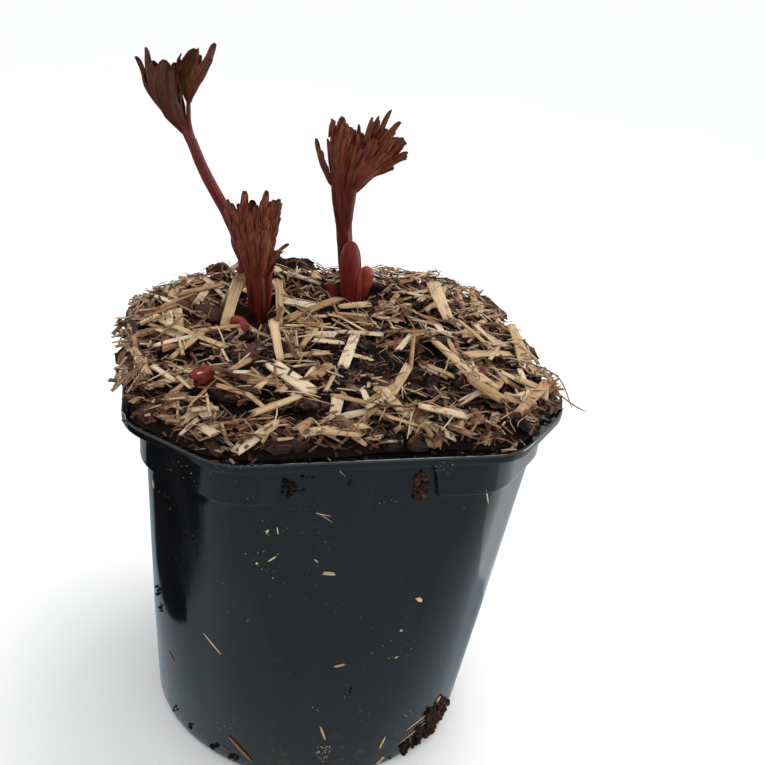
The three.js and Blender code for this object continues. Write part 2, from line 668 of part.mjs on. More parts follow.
// Every shoot and bud, cut where it meets the crown
const crownRoom = makeRootstock(GAP);
const grown = {
  shoot_tall: makeTall(),
  shoot_low: makeLow(),
  shoot_right: makeRight(),
  bud_dark: makeBud(DARK_FOOT, 5.8, 33, 0.45, [-2.6, 0]),
  bud_blunt: makeBud(BLUNT_FOOT, 4.8, 15.2, 0.6, [-1.6, -0.6]),
  bud_small: makeBud(SMALL_FOOT, 3, 6.5, 0.6, [-2.5, -1]),
  bud_pink: makeBud(PINK_FOOT, 5.2, 8.8, 0.5, [-2.6, -3]),
};
for (const name of Object.keys(grown)) {
  grown[name] = mainBody(grown[name].subtract(crownRoom));
}
const holes = join(Object.values(STANDS).map(sleeve));
const bark = makeBark(holes);

const plant = new THREE.Group();
plant.add(piece('pot', makePot(), FINISH.pot));
plant.add(piece('potting_soil', makeSoil(crownRoom, holes), FINISH.soil, 0.08));
plant.add(piece('rootstock', makeRootstock(), FINISH.root, 0.08));
plant.add(piece('bark_mulch', bark, FINISH.bark, 0.05));
plant.add(piece('straw_mulch', makeStraw(bark), FINISH.straw, 0.08));
for (const [name, whole] of Object.entries(grown)) {
  plant.add(piece(name, whole, name.startsWith('bud') ? FINISH.bud : FINISH.leaf, 0.1));
}

export default plant;
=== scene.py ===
import math

import bmesh
import bpy
import numpy as np
from mathutils import Matrix, Vector
from mathutils.bvhtree import BVHTree


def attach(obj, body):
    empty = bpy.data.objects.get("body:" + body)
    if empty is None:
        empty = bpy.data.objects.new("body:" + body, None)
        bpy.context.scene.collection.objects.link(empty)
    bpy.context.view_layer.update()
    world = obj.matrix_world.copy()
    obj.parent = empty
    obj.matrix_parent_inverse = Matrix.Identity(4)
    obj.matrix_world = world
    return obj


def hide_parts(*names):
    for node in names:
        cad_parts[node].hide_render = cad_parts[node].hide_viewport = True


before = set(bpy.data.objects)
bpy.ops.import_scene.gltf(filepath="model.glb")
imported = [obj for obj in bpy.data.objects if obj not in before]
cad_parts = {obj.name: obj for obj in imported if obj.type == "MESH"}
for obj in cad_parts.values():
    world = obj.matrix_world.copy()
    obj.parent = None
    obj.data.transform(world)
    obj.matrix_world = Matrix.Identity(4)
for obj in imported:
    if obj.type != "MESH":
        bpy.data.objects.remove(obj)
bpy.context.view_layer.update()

# Millimetres to metres
MM = 0.001

# The pot, as the solid has it, in millimetres
POT_HEIGHT = 200.0
SHOULDER = 175.3
COLLAR_TOP = 195.3
WALL = 1.8
FLOOR = 2.5
RIM = (100.0, 114.6, 28.0)
COLLAR = (92.8, 107.4, 28.0)
BODY = (90.0, 104.7, 25.0)
BASE = (86.5, 86.5, 82.0)
PANEL_CENTRE = -3.8
PANEL_TOP_HALF = 30.0
PANEL_FOOT_HALF = 34.5
CORNER_STEPS = 10
FLAT_POINTS = 7
FILLET_STEPS = 3
FOOT_RING = (78, 78, 74)
FOOT_MIDDLE = (40, 40, 38)
DRAIN_HOLES = 8
DRAIN_CIRCLE = 62.0
DRAIN_RADIUS = 6.0

# How far up a lobe its small lobules begin
FINGERS_FROM = 0.5

# The shoots' feet
FACING = math.radians(-15.7)
TALL_FOOT = (-40.1, 73.7, 213.0)
LOW_FOOT = (-33.4, 35.3, 205.0)
RIGHT_FOOT = (19.2, 62.2, 208.5)
DARK_FOOT = (18.9, 51.2, 208.0)
BLUNT_FOOT = (29.4, 59.2, 209.0)
SMALL_FOOT = (10.0, 58.6, 209.0)
PINK_FOOT = (-43.5, 15.4, 205.0)
CROWN_TOP = 178.0

# The photograph's camera
CAMERA_PLACE = (-0.0844685, -0.3965252, 0.3901465)
CAMERA_YAW = -0.2745
CAMERA_PITCH = 0.4657
CAMERA_ROLL = 0.1063
CAMERA_LENS = 42.35
SENSOR = 36.0
FRAME_PIXELS = 765


# Numbers and smooth noise

def lerp(a, b, share):
    return a + (b - a) * share


def srgb(red, green, blue):
    """A colour from its screen values, 0 to 255."""
    def linear(value):
        value /= 255.0
        return value / 12.92 if value <= 0.04045 else ((value + 0.055) / 1.055) ** 2.4
    return (linear(red), linear(green), linear(blue), 1.0)


TABLE_SIZE = 64


def soft_noise(x, y, cell, seed):
    """Smooth noise from -1 to 1, with lumps about one cell wide."""
    table = np.random.default_rng(seed).random((TABLE_SIZE, TABLE_SIZE))
    u = np.asarray(x, float) / cell + 31.7
    v = np.asarray(y, float) / cell + 17.3
    i, j = np.floor(u).astype(int), np.floor(v).astype(int)
    fu, fv = u - i, v - j
    fu, fv = fu * fu * (3 - 2 * fu), fv * fv * (3 - 2 * fv)
    i0, i1, j0, j1 = i % TABLE_SIZE, (i + 1) % TABLE_SIZE, j % TABLE_SIZE, (j + 1) % TABLE_SIZE
    low = lerp(table[i0, j0], table[i1, j0], fu)
    high = lerp(table[i0, j1], table[i1, j1], fu)
    return 2 * lerp(low, high, fv) - 1


def unit(vector):
    vector = np.asarray(vector, float)
    return vector / max(1e-9, float(np.linalg.norm(vector)))


# Node materials

class Shade:
    """A material and short calls that add nodes to it."""

    def __init__(self, name, **sockets):
        self.material = bpy.data.materials.new(name)
        self.material.use_nodes = True
        self.tree = self.material.node_tree
        self.shader = self.tree.nodes["Principled BSDF"]
        for key, value in sockets.items():
            self.shader.inputs[key.replace("_", " ")].default_value = value

    def feed(self, socket, value):
        if isinstance(value, bpy.types.NodeSocket):
            self.tree.links.new(value, socket)
        else:
            socket.default_value = value

    def node(self, kind, inputs=(), **settings):
        made = self.tree.nodes.new("ShaderNode" + kind)
        for key, value in settings.items():
            setattr(made, key, value)
        for key, value in inputs:
            self.feed(made.inputs[key], value)
        return made

    def values(self, name):
        """The three numbers of a point value, and the vector itself."""
        vector = self.node("Attribute", attribute_name=name).outputs["Vector"]
        parts = self.node("SeparateXYZ", [(0, vector)]).outputs
        return parts[0], parts[1], parts[2], vector

    def place(self):
        return self.node("TexCoord").outputs["Object"]

    def scaled(self, vector, factors):
        return self.node("VectorMath", [(0, vector), (1, factors)], operation="MULTIPLY").outputs[0]

    def noise(self, vector, scale, detail=3.0, rough=0.55, distortion=0.0):
        made = self.node("TexNoise", [("Vector", vector), ("Scale", scale), ("Detail", detail),
                                      ("Roughness", rough), ("Distortion", distortion)])
        return made.outputs[0]

    def cells(self, vector, scale):
        return self.node("TexVoronoi", [("Vector", vector), ("Scale", scale)]).outputs["Distance"]

    def math(self, operation, a, b=0.0):
        return self.node("Math", [(0, a), (1, b)], operation=operation).outputs[0]

    def times(self, a, b):
        return self.math("MULTIPLY", a, b)

    def plus(self, a, b):
        return self.math("ADD", a, b)

    def span(self, value, low, high, start=0.0, end=1.0):
        """Value from low to high becomes start to end, held at both ends."""
        made = self.node("MapRange", [("Value", value), ("From Min", low), ("From Max", high),
                                      ("To Min", start), ("To Max", end)],
                         interpolation_type="SMOOTHSTEP", clamp=True)
        return made.outputs[0]

    def mix(self, share, a, b):
        made = self.node("Mix", data_type="RGBA")
        for index, value in ((0, share), (6, a), (7, b)):
            self.feed(made.inputs[index], value)
        return made.outputs[2]

    def tint(self, base, colour, share, value, low, high):
        """Mix a colour into the base where a value goes from low to high."""
        return self.mix(self.times(self.span(value, low, high), share), base, colour)

    def ramp(self, value, stops):
        made = self.node("ValToRGB", [(0, value)])
        points = made.color_ramp.elements
        while len(points) < len(stops):
            points.new(0.5)
        for point, (position, tone) in zip(points, stops):
            point.position, point.color = position, tone
        return made.outputs[0]

    def bump(self, height, strength, distance, after=None):
        made = self.node("Bump", [("Height", height), ("Strength", strength), ("Distance", distance)])
        if after is not None:
            self.feed(made.inputs["Normal"], after)
        return made.outputs[0]

    def done(self, base, roughness=None, normal=None):
        self.feed(self.shader.inputs["Base Color"], base)
        if roughness is not None:
            self.feed(self.shader.inputs["Roughness"], roughness)
        if normal is not None:
            self.feed(self.shader.inputs["Normal"], normal)
        return self.material


# Meshes gathered point by point

class Draft:
    """Points in millimetres, faces, and three values at each point: grain, look and more."""

    def __init__(self):
        self.points, self.faces, self.values, self.count = [], [], [], 0

    def add(self, points, faces, grain, look, more):
        points = np.asarray(points, float).reshape(-1, 3)
        spread = [np.broadcast_to(np.asarray(v, float), (len(points), 3)) for v in (grain, look, more)]
        self.points.append(points)
        self.values.append(np.concatenate(spread, 1))
        for group in faces:
            self.faces.extend((np.asarray(group) + self.count).tolist())
        self.count += len(points)


VALUE_NAMES = ("grain", "look", "more")


def make(name, draft, material, nodes, crease=50.0):
    """A named piece from a draft. It rides on the one body and stands for the given CAD nodes."""
    mesh = bpy.data.meshes.new(name)
    mesh.from_pydata((np.concatenate(draft.points) * MM).tolist(), [], draft.faces)
    values = np.concatenate(draft.values)
    for k, value_name in enumerate(VALUE_NAMES):
        layer = mesh.attributes.new(value_name, "FLOAT_VECTOR", "POINT")
        layer.data.foreach_set("vector", np.ascontiguousarray(values[:, 3 * k:3 * k + 3], np.float32).ravel())
    work = bmesh.new()
    work.from_mesh(mesh)
    bmesh.ops.recalc_face_normals(work, faces=work.faces)
    work.to_mesh(mesh)
    work.free()
    return finish_piece(name, mesh, material, nodes, crease)


def finish_piece(name, mesh, material, nodes, crease):
    mesh.polygons.foreach_set("use_smooth", [True] * len(mesh.polygons))
    mesh.set_sharp_from_angle(angle=math.radians(crease))
    mesh.materials.append(material)
    piece = bpy.data.objects.new(name, mesh)
    bpy.context.scene.collection.objects.link(piece)
    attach(piece, "root")
    if nodes:
        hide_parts(*nodes)
    return piece


def net(rows, columns, wrap=False):
    """Four-sided faces between rows of points."""
    i = np.arange(rows - 1)[:, None] * columns
    j = np.arange(columns if wrap else columns - 1)[None, :]
    k = (j + 1) % columns
    return np.stack([i + j, i + k, i + columns + k, i + columns + j], -1).reshape(-1, 4)


def fan(first, count, middle):
    """Three-sided faces from a ring of points to a middle point."""
    j = np.arange(count)
    return np.stack([first + j, first + (j + 1) % count, np.full(count, middle)], -1)


# The pot's section and the mulch's height

def pot_ring(z, main, diagonal, corner, panel=None, steps=CORNER_STEPS):
    """One ring of the eight-sided section. panel gives the sunk panel's half width and depth."""
    turn = math.pi / 4
    arcs = []
    for k in range(8):
        p = (diagonal if k % 2 else main) - corner
        q = (main if k % 2 else diagonal) - corner
        start, end = k * turn, (k + 1) * turn
        x = (p * math.sin(end) - q * math.sin(start)) / math.sin(turn)
        y = (q * math.cos(start) - p * math.cos(end)) / math.sin(turn)
        angles = start + turn * np.arange(steps + 1) / steps
        arcs.append(np.stack([x + corner * np.cos(angles), y + corner * np.sin(angles)], -1))
    ring = []
    for k in range(8):
        a, b = arcs[k][-1], arcs[(k + 1) % 8][0]
        shares = np.arange(1, FLAT_POINTS + 1)[:, None] / (FLAT_POINTS + 1)
        flat = a + (b - a) * shares
        if panel and k in (1, 5):
            side = 1 if k == 1 else -1
            half, depth = panel
            wide = half + 1.0
            across = np.array([-wide, -half, -half / 2, 0, half / 2, half, wide])
            flat = np.stack([PANEL_CENTRE - side * across, np.full(FLAT_POINTS, side * main)], -1)
            flat[1:-1, 1] = side * depth
        ring += [arcs[k], flat]
    ring = np.concatenate(ring)
    return np.concatenate([ring, np.full((len(ring), 1), z)], 1)


def body_shape(share, inset=0.0):
    return tuple(lerp(low, high, share) - inset for low, high in zip(BASE, BODY))


def reach(x, y):
    """0 on the axis and 1 at the rim."""
    x, y = np.abs(x), np.abs(y)
    return np.maximum(np.maximum(x, y) / RIM[0], (x + y) / (math.sqrt(2) * RIM[1]))


DIPS = ((-33, 30, 16, -7.5), (-43, 13, 10, -4), (18, 52, 18, -3), (12, 5, 22, -3), (-15, 80, 24, 7),
        (66, 58, 18, 3))


def bed(x, y):
    """The height of the dark bed under the loose pieces."""
    x, y = np.asarray(x, float), np.asarray(y, float)
    z = POT_HEIGHT + 2.6 + 8.5 * (1 - np.minimum(1, reach(x, y)) ** 3)
    for cx, cy, radius, rise in DIPS:
        z = z + rise * np.exp(-((x - cx) ** 2 + (y - cy) ** 2) / radius ** 2)
    wide = np.sin(x * 0.21 + 1.3) * np.cos(y * 0.24 - 0.4)
    fine = np.sin(x * 0.47 - y * 0.33) * np.cos(y * 0.51 + x * 0.18 + 2)
    return z + 3.4 * (0.35 * wide + 0.25 * fine) - 0.8


# The camera

def camera_axes():
    yaw, pitch, roll = CAMERA_YAW, CAMERA_PITCH, CAMERA_ROLL
    back = np.array([math.sin(yaw) * math.cos(pitch), -math.cos(yaw) * math.cos(pitch), math.sin(pitch)])
    right = np.array([math.cos(yaw), math.sin(yaw), 0.0])
    up = np.cross(back, right)
    return (math.cos(roll) * right + math.sin(roll) * up, math.cos(roll) * up - math.sin(roll) * right, back)


CAMERA_RIGHT, CAMERA_UP, CAMERA_BACK = camera_axes()


def make_camera():
    data = bpy.data.cameras.new("camera")
    data.lens, data.sensor_width = CAMERA_LENS, SENSOR
    data.clip_start, data.clip_end = 0.01, 20.0
    camera = bpy.data.objects.new("camera", data)
    matrix = Matrix.Identity(4)
    for k, axis in enumerate((CAMERA_RIGHT, CAMERA_UP, CAMERA_BACK)):
        for row in range(3):
            matrix[row][k] = axis[row]
    for row in range(3):
        matrix[row][3] = CAMERA_PLACE[row]
    camera.matrix_world = matrix
    bpy.context.scene.collection.objects.link(camera)
    bpy.context.scene.camera = camera


def sight(px, py):
    """The direction in which a pixel of the photograph looks."""
    focal = CAMERA_LENS / SENSOR * FRAME_PIXELS
    middle = FRAME_PIXELS / 2
    return unit(CAMERA_RIGHT * (px - middle) / focal - CAMERA_UP * (py - middle) / focal - CAMERA_BACK)


# The pot

def rounded(profile):
    """A profile of (z, main, diagonal, corner, fillet) rows with its corners rounded."""
    rows = [np.array(row[:4], float) for row in profile]
    out = [rows[0]]
    for before, here, after, row in zip(rows, rows[1:], rows[2:], profile[1:]):
        fillet = row[4]
        if not fillet:
            out.append(here)
            continue
        ends = []
        for other in (before, after):
            length = math.hypot(other[0] - here[0], other[1] - here[1])
            ends.append(here + (other - here) * min(0.49, fillet / length))
        for k in range(FILLET_STEPS + 1):
            t = k / FILLET_STEPS
            out.append((1 - t) ** 2 * ends[0] + 2 * t * (1 - t) * here + t ** 2 * ends[1])
    out.append(rows[-1])
    return out


def make_pot_mesh():
    outside = [(0, *FOOT_RING, 0), (0, *BASE, 3.5)]
    for share in np.linspace(0.06, 0.96, 16):
        outside.append((share * SHOULDER, *body_shape(share), 0))
    outside += [(SHOULDER, *BODY, 0.7), (SHOULDER, *COLLAR, 1.5), (COLLAR_TOP, *COLLAR, 0.5),
                (COLLAR_TOP + 0.4, *RIM, 0.9), (POT_HEIGHT, *RIM, 1.0)]
    neck = body_shape(1, WALL)
    inside = [(POT_HEIGHT, *neck, 0.8), (SHOULDER, *neck, 0)]
    for share in np.linspace(0.9, 0.05, 12):
        inside.append((share * SHOULDER, *body_shape(share, WALL), 0))
    inside += [(FLOOR, *body_shape(0, WALL), 1.5), (FLOOR, *FOOT_RING, 0), (FLOOR, *FOOT_MIDDLE, 0)]
    profile = rounded([(0, *FOOT_MIDDLE, 0)] + outside + inside)
    rings = []
    for z, main, diagonal, corner in profile:
        recessed = SHOULDER - 1.0 <= z <= COLLAR_TOP + 0.3 and main > BODY[0] + 0.001
        panel = None
        if recessed and main < RIM[0] - 6:
            half = lerp(PANEL_FOOT_HALF, PANEL_TOP_HALF, max(0, z - SHOULDER) / (COLLAR_TOP - SHOULDER))
            panel = (half, BODY[0])
        rings.append(pot_ring(z, main, diagonal, corner, panel))
    rings = np.array(rings)
    # The thin wall isn't quite true
    angle = np.arctan2(rings[..., 1], rings[..., 0])
    sway = 0.22 * np.sin(2 * angle + rings[..., 2] * 0.02) + 0.12 * np.sin(5 * angle - rings[..., 2] * 0.035)
    sway += 0.10 * soft_noise(angle * 40, rings[..., 2], 26.0, 5)
    radius = np.hypot(rings[..., 0], rings[..., 1])
    rings[..., 0] *= 1 + sway / radius
    rings[..., 1] *= 1 + sway / radius
    rows, columns = rings.shape[:2]
    points = rings.reshape(-1, 3)
    middles = np.array([[0, 0, 0], [0, 0, FLOOR]], float)
    faces = [net(rows, columns, wrap=True), fan(0, columns, rows * columns),
             fan((rows - 1) * columns, columns, rows * columns + 1)]
    draft = Draft()
    draft.add(np.concatenate([points, middles]), faces, 0, 0, 0)
    return draft


def drain_cutter():
    work = bmesh.new()
    circle, radius = DRAIN_CIRCLE * MM, DRAIN_RADIUS * MM
    for k in range(DRAIN_HOLES):
        angle = (k + 0.5) * 2 * math.pi / DRAIN_HOLES
        spot = Matrix.Translation((circle * math.cos(angle), circle * math.sin(angle), FLOOR / 2 * MM))
        bmesh.ops.create_cone(work, cap_ends=True, segments=32, radius1=radius, radius2=radius,
                              depth=FLOOR * 4 * MM, matrix=spot)
    mesh = bpy.data.meshes.new("drain_cutter")
    work.to_mesh(mesh)
    work.free()
    cutter = bpy.data.objects.new("drain_cutter", mesh)
    bpy.context.scene.collection.objects.link(cutter)
    return cutter


def pot_material():
    s = Shade("pot_plastic", Roughness=0.2)
    s.shader.inputs["Specular IOR Level"].default_value = 0.5
    place = s.place()
    broad = s.noise(place, 14.0, 3.0)
    film = s.noise(s.scaled(place, (1.0, 1.0, 0.35)), 60.0, 5.0, 0.6)
    # Dust that has run down, in long faint streaks
    runs = s.noise(s.scaled(place, (1.0, 1.0, 0.05)), 130.0, 3.0, 0.6)
    streak = s.span(runs, 0.56, 0.78)
    height = s.node("SeparateXYZ", [(0, place)]).outputs[2]
    foot = s.span(height, 0.07, 0.0)
    fleck_noise = s.noise(place, 900.0, 2.0, 0.5)
    fleck_patch = s.span(s.noise(place, 38.0, 3.0, 0.7), 0.52, 0.7)
    flecks = s.times(s.span(fleck_noise, 0.69, 0.75), fleck_patch)
    mud_noise = s.noise(place, 210.0, 5.0, 0.7, 0.3)
    mud = s.times(s.span(mud_noise, 0.55, 0.68), s.span(height, 0.05, 0.0, 0.0, 0.8))
    base = s.mix(broad, srgb(6, 7, 8), srgb(10, 11, 13))
    base = s.tint(base, srgb(44, 47, 48), 0.1, film, 0.45, 0.75)
    base = s.mix(s.times(streak, 0.05), base, srgb(80, 84, 82))
    base = s.mix(s.times(foot, 0.08), base, srgb(70, 66, 58))
    base = s.mix(flecks, base, srgb(150, 142, 124))
    base = s.mix(mud, base, srgb(72, 54, 40))
    wear = s.plus(s.span(film, 0.3, 0.75, 0.0, 0.09), s.times(streak, 0.08))
    rough = s.plus(s.plus(wear, 0.07), s.times(mud, 0.4))
    # Fine moulded skin, faint scratches
    skin = s.noise(place, 1500.0, 2.0)
    scratches = s.noise(s.scaled(place, (1.0, 1.0, 0.12)), 420.0, 4.0, 0.7)
    normal = s.bump(skin, 0.03, 0.0002)
    normal = s.bump(scratches, 0.03, 0.0004, normal)
    normal = s.bump(s.plus(flecks, mud), 0.35, 0.0004, normal)
    return s.done(base, rough, normal)


def make_pot():
    draft = make_pot_mesh()
    cutter = drain_cutter()
    pot = make("nursery_pot", draft, pot_material(), ["pot"], 38.0)
    cut = pot.modifiers.new("holes", "BOOLEAN")
    cut.object, cut.operation, cut.solver = cutter, "DIFFERENCE", "EXACT"
    bpy.context.view_layer.update()
    shaped = bpy.data.meshes.new_from_object(pot.evaluated_get(bpy.context.evaluated_depsgraph_get()))
    pot.modifiers.clear()
    old, pot.data = pot.data, shaped
    bpy.data.meshes.remove(old)
    bpy.data.objects.remove(cutter)
    return pot


# Long pieces: tubes, lobes and chips

def spline(points, count):
    """Points along a smooth curve through the given ones."""
    points = np.asarray(points, float)
    gaps = np.sqrt(np.linalg.norm(np.diff(points, axis=0), axis=1)) + 1e-6
    knots = np.concatenate([[0], np.cumsum(gaps)])
    slopes = np.gradient(points, knots, axis=0)
    at = np.linspace(0, knots[-1], count)
    k = np.clip(np.searchsorted(knots, at, side="right") - 1, 0, len(knots) - 2)
    h = (knots[k + 1] - knots[k])[:, None]
    t = ((at - knots[k])[:, None]) / h
    a, b, m, n = points[k], points[k + 1], slopes[k] * h, slopes[k + 1] * h
    return ((2 * t ** 3 - 3 * t ** 2 + 1) * a + (t ** 3 - 2 * t ** 2 + t) * m
            + (3 * t ** 2 - 2 * t ** 3) * b + (t ** 3 - t ** 2) * n)


def frames(path, first=(1.0, 0.3, 0.1)):
    """Tangent and two cross directions along a path, with no twist."""
    tangents = np.gradient(path, axis=0)
    tangents /= np.linalg.norm(tangents, axis=1)[:, None]
    side = unit(np.cross(tangents[0], np.cross(np.asarray(first, float), tangents[0])))
    sides = []
    for tangent in tangents:
        side = unit(side - tangent * np.dot(side, tangent))
        sides.append(side)
    sides = np.array(sides)
    return tangents, sides, np.cross(tangents, sides)


def tube(draft, points, radii, rows=24, columns=18, ridges=(), tone=0.5, shade=0.0, deep=0.0):
    """A closed tube with lengthwise ridges, each (how many, height, turn)."""
    path = np.asarray(points, float) if len(points) == rows else spline(points, rows)
    _, sides, ups = frames(path)
    along = np.linspace(0, 1, rows)
    radius = np.asarray(radii) if len(radii) == rows else np.interp(along, np.linspace(0, 1, len(radii)), radii)
    angle = 2 * math.pi * np.arange(columns) / columns
    swell = np.ones((rows, columns))
    for number, height, turn in ridges:
        swell += height * np.cos(number * angle[None, :] + turn + 0.6 * along[:, None])
    swell += 0.03 * soft_noise(along[:, None] * 40 + tone * 90, angle[None, :] * 3, 3.0, 11)
    r = radius[:, None] * swell
    grid = (path[:, None] + sides[:, None] * (r * np.cos(angle))[..., None]
            + ups[:, None] * (r * np.sin(angle))[..., None])
    length = float(np.linalg.norm(np.diff(path, axis=0), axis=1).sum())
    points = np.concatenate([grid.reshape(-1, 3), path[:1], path[-1:]])
    faces = [net(rows, columns, True), fan(0, columns, rows * columns),
             fan((rows - 1) * columns, columns, rows * columns + 1)]
    u = np.concatenate([np.repeat(along, columns), [0, 1]])
    v = np.concatenate([np.tile(angle, rows), [0, 0]])
    girth = float(np.mean(radius))
    grain = np.stack([u * length + tone * 700, np.cos(v) * girth, np.sin(v) * girth + tone * 300], -1)
    ridge = np.concatenate([swell.reshape(-1), [1, 1]])
    look = np.stack([u, ridge, np.full(len(u), tone)], -1)
    # shade darkens a stem and deep darkens a head's core, both with painted shade
    draft.add(points, faces, grain, look, (0, shade, deep))


LOBE_SHARES = (0, 0.1, 0.25, 0.5, 0.66, 0.76, 0.84, 0.93, 0.975, 1)
LOBE_WIDTHS = (0.5, 0.66, 0.88, 1.0, 0.94, 0.76, 0.66, 0.60, 0.52, 0.30)
NARROW_ROOT = (0.22, 0.46, 0.84, 1.0, 0.94, 0.76, 0.64, 0.56, 0.46, 0.24)


def lobe(draft, path, width, out, tone, curl=1.15, thickness=0.55, rows=20, columns=9, keel=0.35,
         widths=LOBE_WIDTHS, ripple=0.25, tip_dark=1.0, twist=0.0, shade=0.0):
    """A leaf lobe along a path: a trough whose back, with its keel, faces out."""
    tangents = np.gradient(path, axis=0)
    tangents /= np.linalg.norm(tangents, axis=1)[:, None]
    u = np.linspace(0, 1, rows)
    half = 0.5 * width * np.interp(u, LOBE_SHARES, widths)
    s = np.linspace(-1, 1, columns)
    out = np.asarray(out, float)
    turned = out + twist * u[:, None] ** 2 * unit(np.cross(path[-1] - path[0], out))
    side = np.cross(tangents, turned)
    side /= np.linalg.norm(side, axis=1)[:, None]
    normal = np.cross(side, tangents)
    bend = curl * (1 - 0.25 * u)
    wide = np.sin(np.minimum(bend, math.pi / 2))
    lateral = half[:, None] * np.sin(s[None] * bend[:, None]) / wide[:, None]
    sunk = -half[:, None] * (1 - np.cos(s[None] * bend[:, None])) / wide[:, None]
    rise = (keel * np.exp(-(s[None] / 0.16) ** 2)
            - 0.7 * keel * np.exp(-((np.abs(s[None]) - 0.42) / 0.14) ** 2))
    sunk = sunk + rise * np.minimum(1, half[:, None] / 1.4)
    wave = ripple * np.sin(u[:, None] * 17 + tone * 40 + s[None] * 2) * s[None] ** 2
    sunk = sunk + wave * np.minimum(1, half[:, None])
    middle = path[:, None] + side[:, None] * lateral[..., None] + normal[:, None] * sunk[..., None]
    face = normal[:, None] * np.cos(s * 1.0)[None, :, None] + side[:, None] * np.sin(s * 1.0)[None, :, None]
    thick = 0.5 * thickness * (1 - 0.45 * s[None] ** 2) * np.interp(u, [0, 0.9, 1], [1, 0.85, 0.5])[:, None]
    outer = middle + face * thick[..., None]
    inner = middle - face * thick[..., None]
    ring = np.concatenate([outer, inner[:, ::-1]], 1)
    count = 2 * columns
    points = np.concatenate([ring.reshape(-1, 3), ring[:1].mean(1), ring[-1:].mean(1)])
    faces = [net(rows, count, True), fan(0, count, rows * count), fan((rows - 1) * count, count, rows * count + 1)]
    length = float(np.linalg.norm(np.diff(path, axis=0), axis=1).sum())
    around = np.concatenate([s, s[::-1]])
    outside = np.concatenate([np.ones(columns), np.zeros(columns)])
    uu, ss, oo = (np.broadcast_to(a, (rows, count)).reshape(-1) for a in (u[:, None], around[None], outside[None]))
    uu, ss, oo = (np.concatenate([a, tail]) for a, tail in ((uu, [0, 1]), (ss, [0, 0]), (oo, [1, 1])))
    grain = np.stack([uu * length + tone * 500, ss * width / 2, np.full(len(uu), tone * 170)], -1)
    look = np.stack([uu, ss, np.full(len(uu), tone)], -1)
    draft.add(points, faces, grain, look, np.stack([oo, np.full(len(uu), tip_dark), 0 * uu + shade], -1))


def bezier(start, middle, end, count, hook=None, reach_back=0.22):
    """A bent path to a tip, which may hook over in its last part."""
    t = np.linspace(0, 1, count)[:, None]
    hook = np.zeros(3) if hook is None else np.asarray(hook, float)
    end = np.asarray(end) - hook
    path = (1 - t) ** 2 * start + 2 * t * (1 - t) * middle + t ** 2 * end
    late = np.clip((t - (1 - reach_back)) / reach_back, 0, 1)
    return path + hook * late ** 2


def stand(foot, across, up, back=0.0):
    """A point of a shoot, from its distance across, its height and its distance back."""
    c, s = math.cos(FACING), math.sin(FACING)
    return np.array([foot[0] + across * c - back * s, foot[1] + across * s + back * c, foot[2] + up])


def way(foot, *points):
    return [stand(foot, *point) for point in points]


def buried(foot, lean=(0.0, 0.0)):
    return np.array([foot[0] + lean[0], foot[1] + lean[1], CROWN_TOP - 4])


def lobes(draft, foot, rows, rng, front=(0.0, 0.0, -1.0), scale=1.15, curl=1.25, hook=1.0, extra=1, shade=0.0,
          each=4, widths=LOBE_WIDTHS, size=(5.0, 9.0)):
    """Lobes of a shoot. A row is a width and the points (across, up, back) of a path from root to tip.

    A lobe faces away from the middle of its bunch, and its tip hooks over a little. Side lobes stand off
    from its upper half.
    """
    centre = np.mean([row[len(row) // 2] for row in rows], axis=0)
    for width, *points in rows:
        path = spline([stand(foot, *point) for point in points], 24)
        middle = np.asarray(points[len(points) // 2], float)
        away = middle - centre
        out = unit(stand((0, 0, 0), *unit(unit([away[0], 0, away[2]]) + np.asarray(front) * 0.9)))
        side = unit(np.cross(path[-1] - path[0], out))
        late = np.clip((np.linspace(0, 1, 24)[:, None] - 0.8) / 0.2, 0, 1) ** 2
        bow = side * rng.uniform(-0.9, 0.9) + out * rng.uniform(-0.6, 1.0)
        path = path + (late - late[-1] * np.linspace(0, 1, 24)[:, None] ** 3) * bow * 1.5 * hook
        lobe(draft, path, width * scale, out, rng.random(), curl, rows=24, widths=widths,
             tip_dark=rng.uniform(0.3, 1.0), twist=rng.uniform(-0.4, 0.4), shade=shade)
        for _ in range(extra):
            low, high = int(rng.integers(4, 9)), int(rng.integers(18, 22))
            shift = side * rng.choice([-1, 1]) * width * rng.uniform(0.28, 0.5) + out * rng.uniform(0.0, 0.8)
            share = np.linspace(0, 1, high - low)[:, None]
            small = path[low:high] + shift * share ** 1.5 + out * 0.35 * share
            lobe(draft, spline(small, 16), width * scale * rng.uniform(0.42, 0.62), out, rng.random(), curl, rows=16,
                 columns=7, tip_dark=rng.uniform(0.0, 0.8), twist=rng.uniform(-0.7, 0.7), shade=shade)
    if each:
        fingers(draft, foot, rows, rng, each, front, shade, size)


